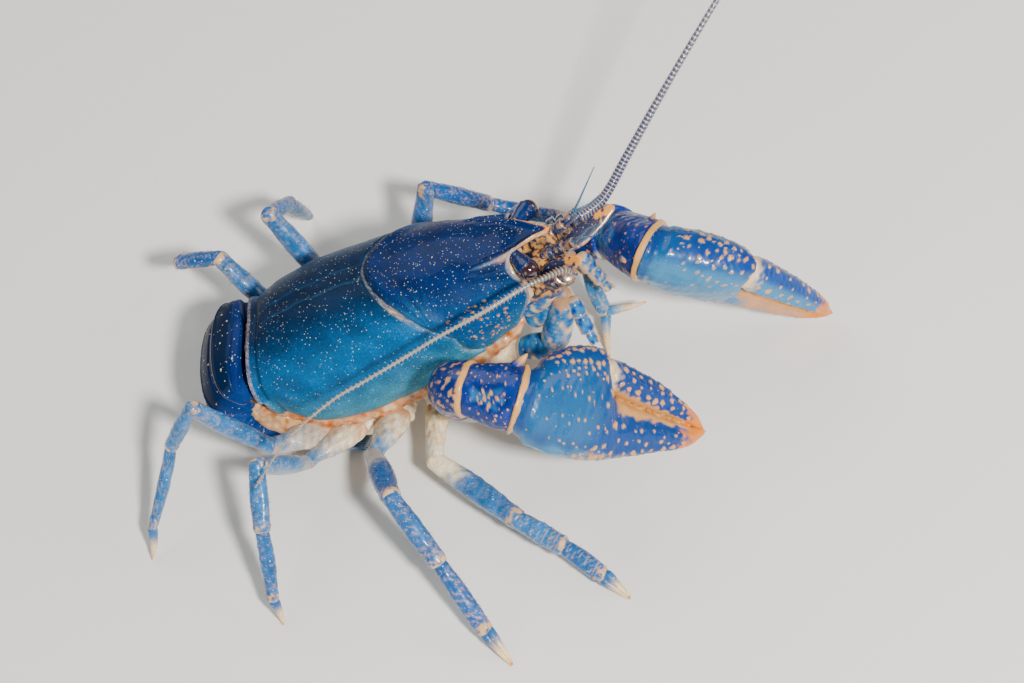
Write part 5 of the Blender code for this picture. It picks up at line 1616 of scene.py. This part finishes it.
def short_feeler_bm(out):
    """Return one short feeler: three stout joints and a forked ringed tip."""
    stalk = np.array(((33.0, 1.3 * out, -3.6), (34.7, 1.4 * out, -3.4), (36.0, 1.6 * out, -3.0),
                      (37.4, 2.0 * out, -2.4)))
    parts = []
    for k, girth in enumerate((0.85, 0.66, 0.52)):
        profile = [(t, r * girth) for t, r in ((0.0, 0.8), (0.3, 1.0), (0.85, 1.04), (1.0, 0.9))]
        parts.append(head_part((stalk[k], 0.5 * (stalk[k] + stalk[k + 1]), stalk[k + 1]), profile,
                               slate_paint(96 + k, 0.35), step=0.04, seed=97 + k))
    for fork, tip in ((0.25, (41.4, 4.0 * out, 0.9)), (-0.2, (40.6, 2.6 * out, -1.8))):
        knots = (stalk[3] - (0.2, 0.0, 0.0), stalk[3] + (0.8, fork * out + 0.2 * out, 0.45 + fork),
                 0.5 * (stalk[3] + np.array(tip)) + (0.3, 0.0, 0.1 + fork), tip)
        path, places = sweep_path(world(knots), 0.05)
        wave = (places / 0.32) % 1.0
        radius = (0.15 - 0.1 * places / places[-1]) * (0.85 + 0.2 * np.sin(math.pi * wave))
        pale = (0.25 + 0.6 * ease(0.7, 0.85, wave))[:, None]
        parts.append(sheet(rings_along(path, radius, 10), mix(shade("slate"), shade("sky"), pale)))
    return merge(parts)


class CRAYFISH_OT_feelers(bpy.types.Operator):
    """Build the long feelers with their bases, and the short ones."""
    bl_idname = "crayfish.feelers"
    bl_label = "Feelers"

    def execute(self, context):
        """Make each feeler's base, ringed whip and the forked short feeler."""
        finish = shell_finish("feeler_shell", pitch=2600.0, dot_size=0.2, clouds=0.15, grain=0.3,
                              roughness=0.35, coat=1.0, relief=0.3, shine=0.5)
        for side, out in SIDES.items():
            finish_piece("whip_base_" + side, feeler_base_bm(side), finish, ("feeler_base_" + side,))
            lengths, bristles = feeler_bms(side)
            for k, (length, tuft) in enumerate(zip(lengths, bristles), 1):
                finish_piece("whip_%s_%d" % (side, k), length, finish, ("feeler_%s_%d" % (side, k),))
                finish_hairs("whip_bristles_%s_%d" % (side, k), tuft)
            finish_piece("short_feeler_" + side, short_feeler_bm(out), finish, ("antennule_" + side,))
        return {"FINISHED"}


FACET_SCALE = 11000.0
EYE_RADIUS = 1.05


class CRAYFISH_OT_eyes(bpy.types.Operator):
    """Build the stalked eyes."""
    bl_idname = "crayfish.eyes"
    bl_label = "Eyes"

    def execute(self, context):
        """Make each cornea and its stalk."""
        cornea, tree, shader = new_material("cornea")
        place = add_node(tree, "TexCoord", {})["Object"]
        facets = add_node(tree, "TexVoronoi", {"Vector": place, "Scale": FACET_SCALE})
        clouds = add_node(tree, "TexNoise", {"Vector": place, "Scale": 1400.0})
        tones = add_node(tree, "Mix", {
            "A": (*shade("eye"), 1.0), "B": (*(shade("eye") * 3.0 + 0.006), 1.0),
            "Factor": clouds["Fac"]}, data_type="RGBA")
        relief = add_node(tree, "Bump", {"Strength": 0.08, "Distance": 0.02 * MM,
                                         "Height": facets["Distance"]})
        feed(tree, shader, {"Base Color": tones["Result"], "Normal": relief["Normal"],
                            "Roughness": 0.12, "Coat Weight": 1.0, "Coat Roughness": 0.03})
        stalk_finish = shell_finish("eye_stalk", pitch=2600.0, clouds=0.2, grain=0.3, roughness=0.3)
        stalk_paint = banded(mix(shade("navy"), shade("head"), 0.5), shade("slate"), 1.5, 0.3)
        for side, out in SIDES.items():
            centre = np.array((32.3, 4.1 * out, -1.9))
            way = unit((0.52, 0.8 * out, -0.22))
            pole_angle = np.linspace(0.0, math.pi, 40)
            radius = EYE_RADIUS * np.sin(pole_angle)
            along = 0.2 - 0.95 * np.cos(pole_angle)
            across = unit(np.cross(UPWARD, way))
            points = tube(world(centre + way * along[:, None]), TILT @ across,
                          TILT @ np.cross(way, across), radius, radius * 1.02, 48)
            finish_piece("cornea_" + side, sheet(points, shade("eye")), cornea, ("eye_" + side,))
            lid = UPWARD * 0.12
            stalk = head_part((centre - way * 2.6, centre - way * 1.2 + lid, centre + way * 0.3 + lid),
                              ((0.0, 0.7), (0.4, 0.85), (0.8, 1.06), (0.92, 1.1), (1.0, 1.0)),
                              stalk_paint, seed=99)
            finish_piece("eye_stalk_" + side, stalk, stalk_finish, ())
        return {"FINISHED"}


# Mouth limbs: root, bend and end of the blade, then the palp's two ends
MOUTH_LIMBS = {
    "right": ((25.4, -3.1, -13.4), (29.2, -4.0, -13.9), (32.8, -2.9, -9.1), (33.4, -2.7, -9.4),
              (33.7, -5.2, -14.4)),
    "left": ((25.4, 3.1, -13.4), (30.0, 3.0, -11.2), (33.8, 2.9, -9.4), (34.6, 2.7, -9.4),
             (35.2, 2.2, -15.0)),
}


BLADE_SHAPE = ((0.0, 1.1), (0.3, 1.5), (0.85, 1.65), (1.0, 1.5))
BLADE_END_SHAPE = ((0.0, 1.3), (0.2, 1.65), (0.7, 1.45), (0.93, 1.15), (1.0, 1.0))
PALP_SHAPE = ((0.0, 0.75), (0.3, 1.0), (0.8, 1.0), (0.93, 1.05), (1.0, 0.8))


def limb_paint(t, facing, points):
    """Paint a mouth limb blue, with a pale lower edge and a tan end."""
    cream, sky = shade("cream"), shade("sky")
    edge = ease(-0.25, 0.45, 0.35 * uneven(points, 1.1, 103) - facing)
    tone = mix(mix(sky, shade("azure"), 0.6 + 0.4 * uneven(points, 0.8, 110)),
               mix(cream, shade("white"), 0.45), edge)
    end = ease(0.9, 0.97, t + 0.03 * uneven(points, 0.8, 111))
    tone = mix(tone, mix(cream, shade("tan"), 0.3), 0.8 * end)
    return tone, 0.2


def palp_paint(t, facing, points):
    """Paint a palp blue, with pale sides and ends."""
    ends = np.maximum(ease(0.12, 0.04, t), ease(0.84, 0.94, t + 0.04 * uneven(points, 0.7, 112)))
    sides = ease(0.3, 0.05, np.abs(facing) + 0.12 * uneven(points, 0.8, 113))
    tone = mix(shade("azure"), shade("sky"), 0.35 + 0.4 * uneven(points, 0.8, 114))
    return mix(tone, mix(shade("cream"), shade("white"), 0.4), 0.9 * np.maximum(ends, sides)), 0.2


def face_bm():
    """Return the mottled block of the face behind the feelers and the mouth limbs."""
    place, girth = rounded_stations(4.0, 0.2, 1.3, 40, 16)
    centres = world(np.stack([29.2 + place, 0 * place, -5.9 + 0 * place], -1))
    face = tube(centres, tilted(LEFTWARD), tilted((0.25, 0, 1)), 3.5 * girth ** 0.8,
                3.3 * girth ** 0.8, 90, 2.6)
    face = push(face, unit(face - centres[:, None]), 0.12 * uneven(face, 1.3, 101) * girth[:, None])
    tone = mix(mix(shade("cream"), shade("tan"), 0.4), shade("slate"),
               ease(-0.35, 0.15, uneven(face, 0.7, 102)))
    below = ease(-0.2, -0.6, dot(face - centres[:, None], tilted(UPWARD)) / 3.3)
    blue = mix(shade("azure"), shade("sky"), 0.3 + 0.4 * uneven(face, 0.8, 109))
    return sheet(face, mix(tone, blue, 0.85 * below), 0.3)


def inner_limb_bm(out, k):
    """Return one of the two inner mouth limbs of a side."""
    high = 1.9 * k
    knots = ((27.6, 1.7 * out, high - 11.4), (30.4, (1.8 - 0.3 * k) * out, high - 10.6),
             (33.0 - 0.5 * k, (1.5 - 0.2 * k) * out, high - 9.3))
    return head_part(knots, ((0.0, 1.2), (0.4, 1.5), (0.85, 1.3), (1.0, 0.9)), limb_paint, flat=0.85,
                     seed=115 + k)


class CRAYFISH_OT_mouth(bpy.types.Operator):
    """Build the face and the outer mouth limbs."""
    bl_idname = "crayfish.mouth"
    bl_label = "Face and mouth limbs"

    def execute(self, context):
        """Make the face block, the folded limbs, their palps and bristles."""
        finish = shell_finish("mouth_shell", pitch=2000.0, dot_size=0.2, clouds=0.35, grain=0.3,
                              roughness=0.35, coat=0.4, relief=0.5, subsurface=0.1)
        inner_limbs = [inner_limb_bm(out, k) for out in SIDES.values() for k in range(2)]
        finish_piece("face_front", merge([face_bm(), *inner_limbs]), finish, ("face",))
        for side, out in SIDES.items():
            a, cut, b, top, tip = np.array(MOUTH_LIMBS[side])
            blade = [head_part(knots, profile, limb_paint, flat=0.62, seed=seed)
                     for knots, profile, seed in (
                         ((a, 0.5 * (a + cut), cut), BLADE_SHAPE, 104),
                         ((cut - (cut - a) * 0.04, 0.5 * (cut + b), b), BLADE_END_SHAPE, 105))]
            palp = []
            for first, last, girth in ((0.0, 0.36, 0.92), (0.34, 0.74, 0.8), (0.72, 1.0, 0.5)):
                knots = [top + (tip - top) * share for share in (first, 0.5 * (first + last), last)]
                profile = [(t, r * girth) for t, r in PALP_SHAPE]
                palp.append(head_part(knots, profile, palp_paint, flat=0.75, seed=106, step=0.06))
            finish_piece("mouth_limb_" + side, merge(blade), finish, ("jaw_leg_" + side,))
            finish_piece("mouth_palp_" + side, merge(palp), finish, ("jaw_palp_" + side,))
            rng = np.random.default_rng(107)
            roots, ways = [], []
            for count, least, first, last, shift, way in (
                    (70, 0.05, cut, b, (0.5, -0.6 * out, -0.7), (0.7, -0.4 * out, -1.0)),
                    (60, 0.15, top, tip, (0.45, 0.0, -0.1), (0.9, 0.0, -0.8))):
                share = rng.uniform(least, 1.0, count)[:, None]
                roots.extend(world(first + (last - first) * share + np.array(shift)))
                ways.extend([tilted(way)] * count)
            finish_hairs("mouth_bristles_" + side,
                         bristle_tuft(roots, ways, sizes().bristle / MM, "cream", 108))
        return {"FINISHED"}


# Panel and start
SETTINGS = (CrayfishSizes, CrayfishColours, CrayfishStage)
OPERATORS = (CRAYFISH_OT_stage, CRAYFISH_OT_shell, CRAYFISH_OT_trunk, CRAYFISH_OT_tail,
             CRAYFISH_OT_tail_fan, CRAYFISH_OT_legs, CRAYFISH_OT_claws, CRAYFISH_OT_eyes,
             CRAYFISH_OT_feelers, CRAYFISH_OT_mouth)


class CRAYFISH_PT_panel(bpy.types.Panel):
    """List the model's pieces and settings."""
    bl_idname = "CRAYFISH_PT_panel"
    bl_label = "Crayfish"
    bl_space_type = "VIEW_3D"
    bl_region_type = "UI"
    bl_category = "Crayfish"

    def draw(self, context):
        """Draw one button for each piece, then the settings."""
        for operator in OPERATORS:
            self.layout.operator(operator.bl_idname)
        for group in (context.scene.crayfish_sizes, context.scene.crayfish_colours,
                      context.scene.crayfish_stage):
            for name in group.bl_rna.properties.keys():
                if name not in ("rna_type", "name"):
                    self.layout.prop(group, name)


def register():
    """Register the classes and hang the settings on the scene."""
    for item in SETTINGS + OPERATORS + (CRAYFISH_PT_panel,):
        bpy.utils.register_class(item)
    bpy.types.Scene.crayfish_sizes = bpy.props.PointerProperty(type=CrayfishSizes)
    bpy.types.Scene.crayfish_colours = bpy.props.PointerProperty(type=CrayfishColours)
    bpy.types.Scene.crayfish_stage = bpy.props.PointerProperty(type=CrayfishStage)


def unregister():
    """Take the settings and classes away again."""
    del bpy.types.Scene.crayfish_sizes
    del bpy.types.Scene.crayfish_colours
    del bpy.types.Scene.crayfish_stage
    for item in reversed(SETTINGS + OPERATORS + (CRAYFISH_PT_panel,)):
        bpy.utils.unregister_class(item)


def main():
    """Build every piece in order."""
    register()
    for operator in OPERATORS:
        family, action = operator.bl_idname.split(".")
        getattr(getattr(bpy.ops, family), action)()


if __name__ == "__main__":
    main()
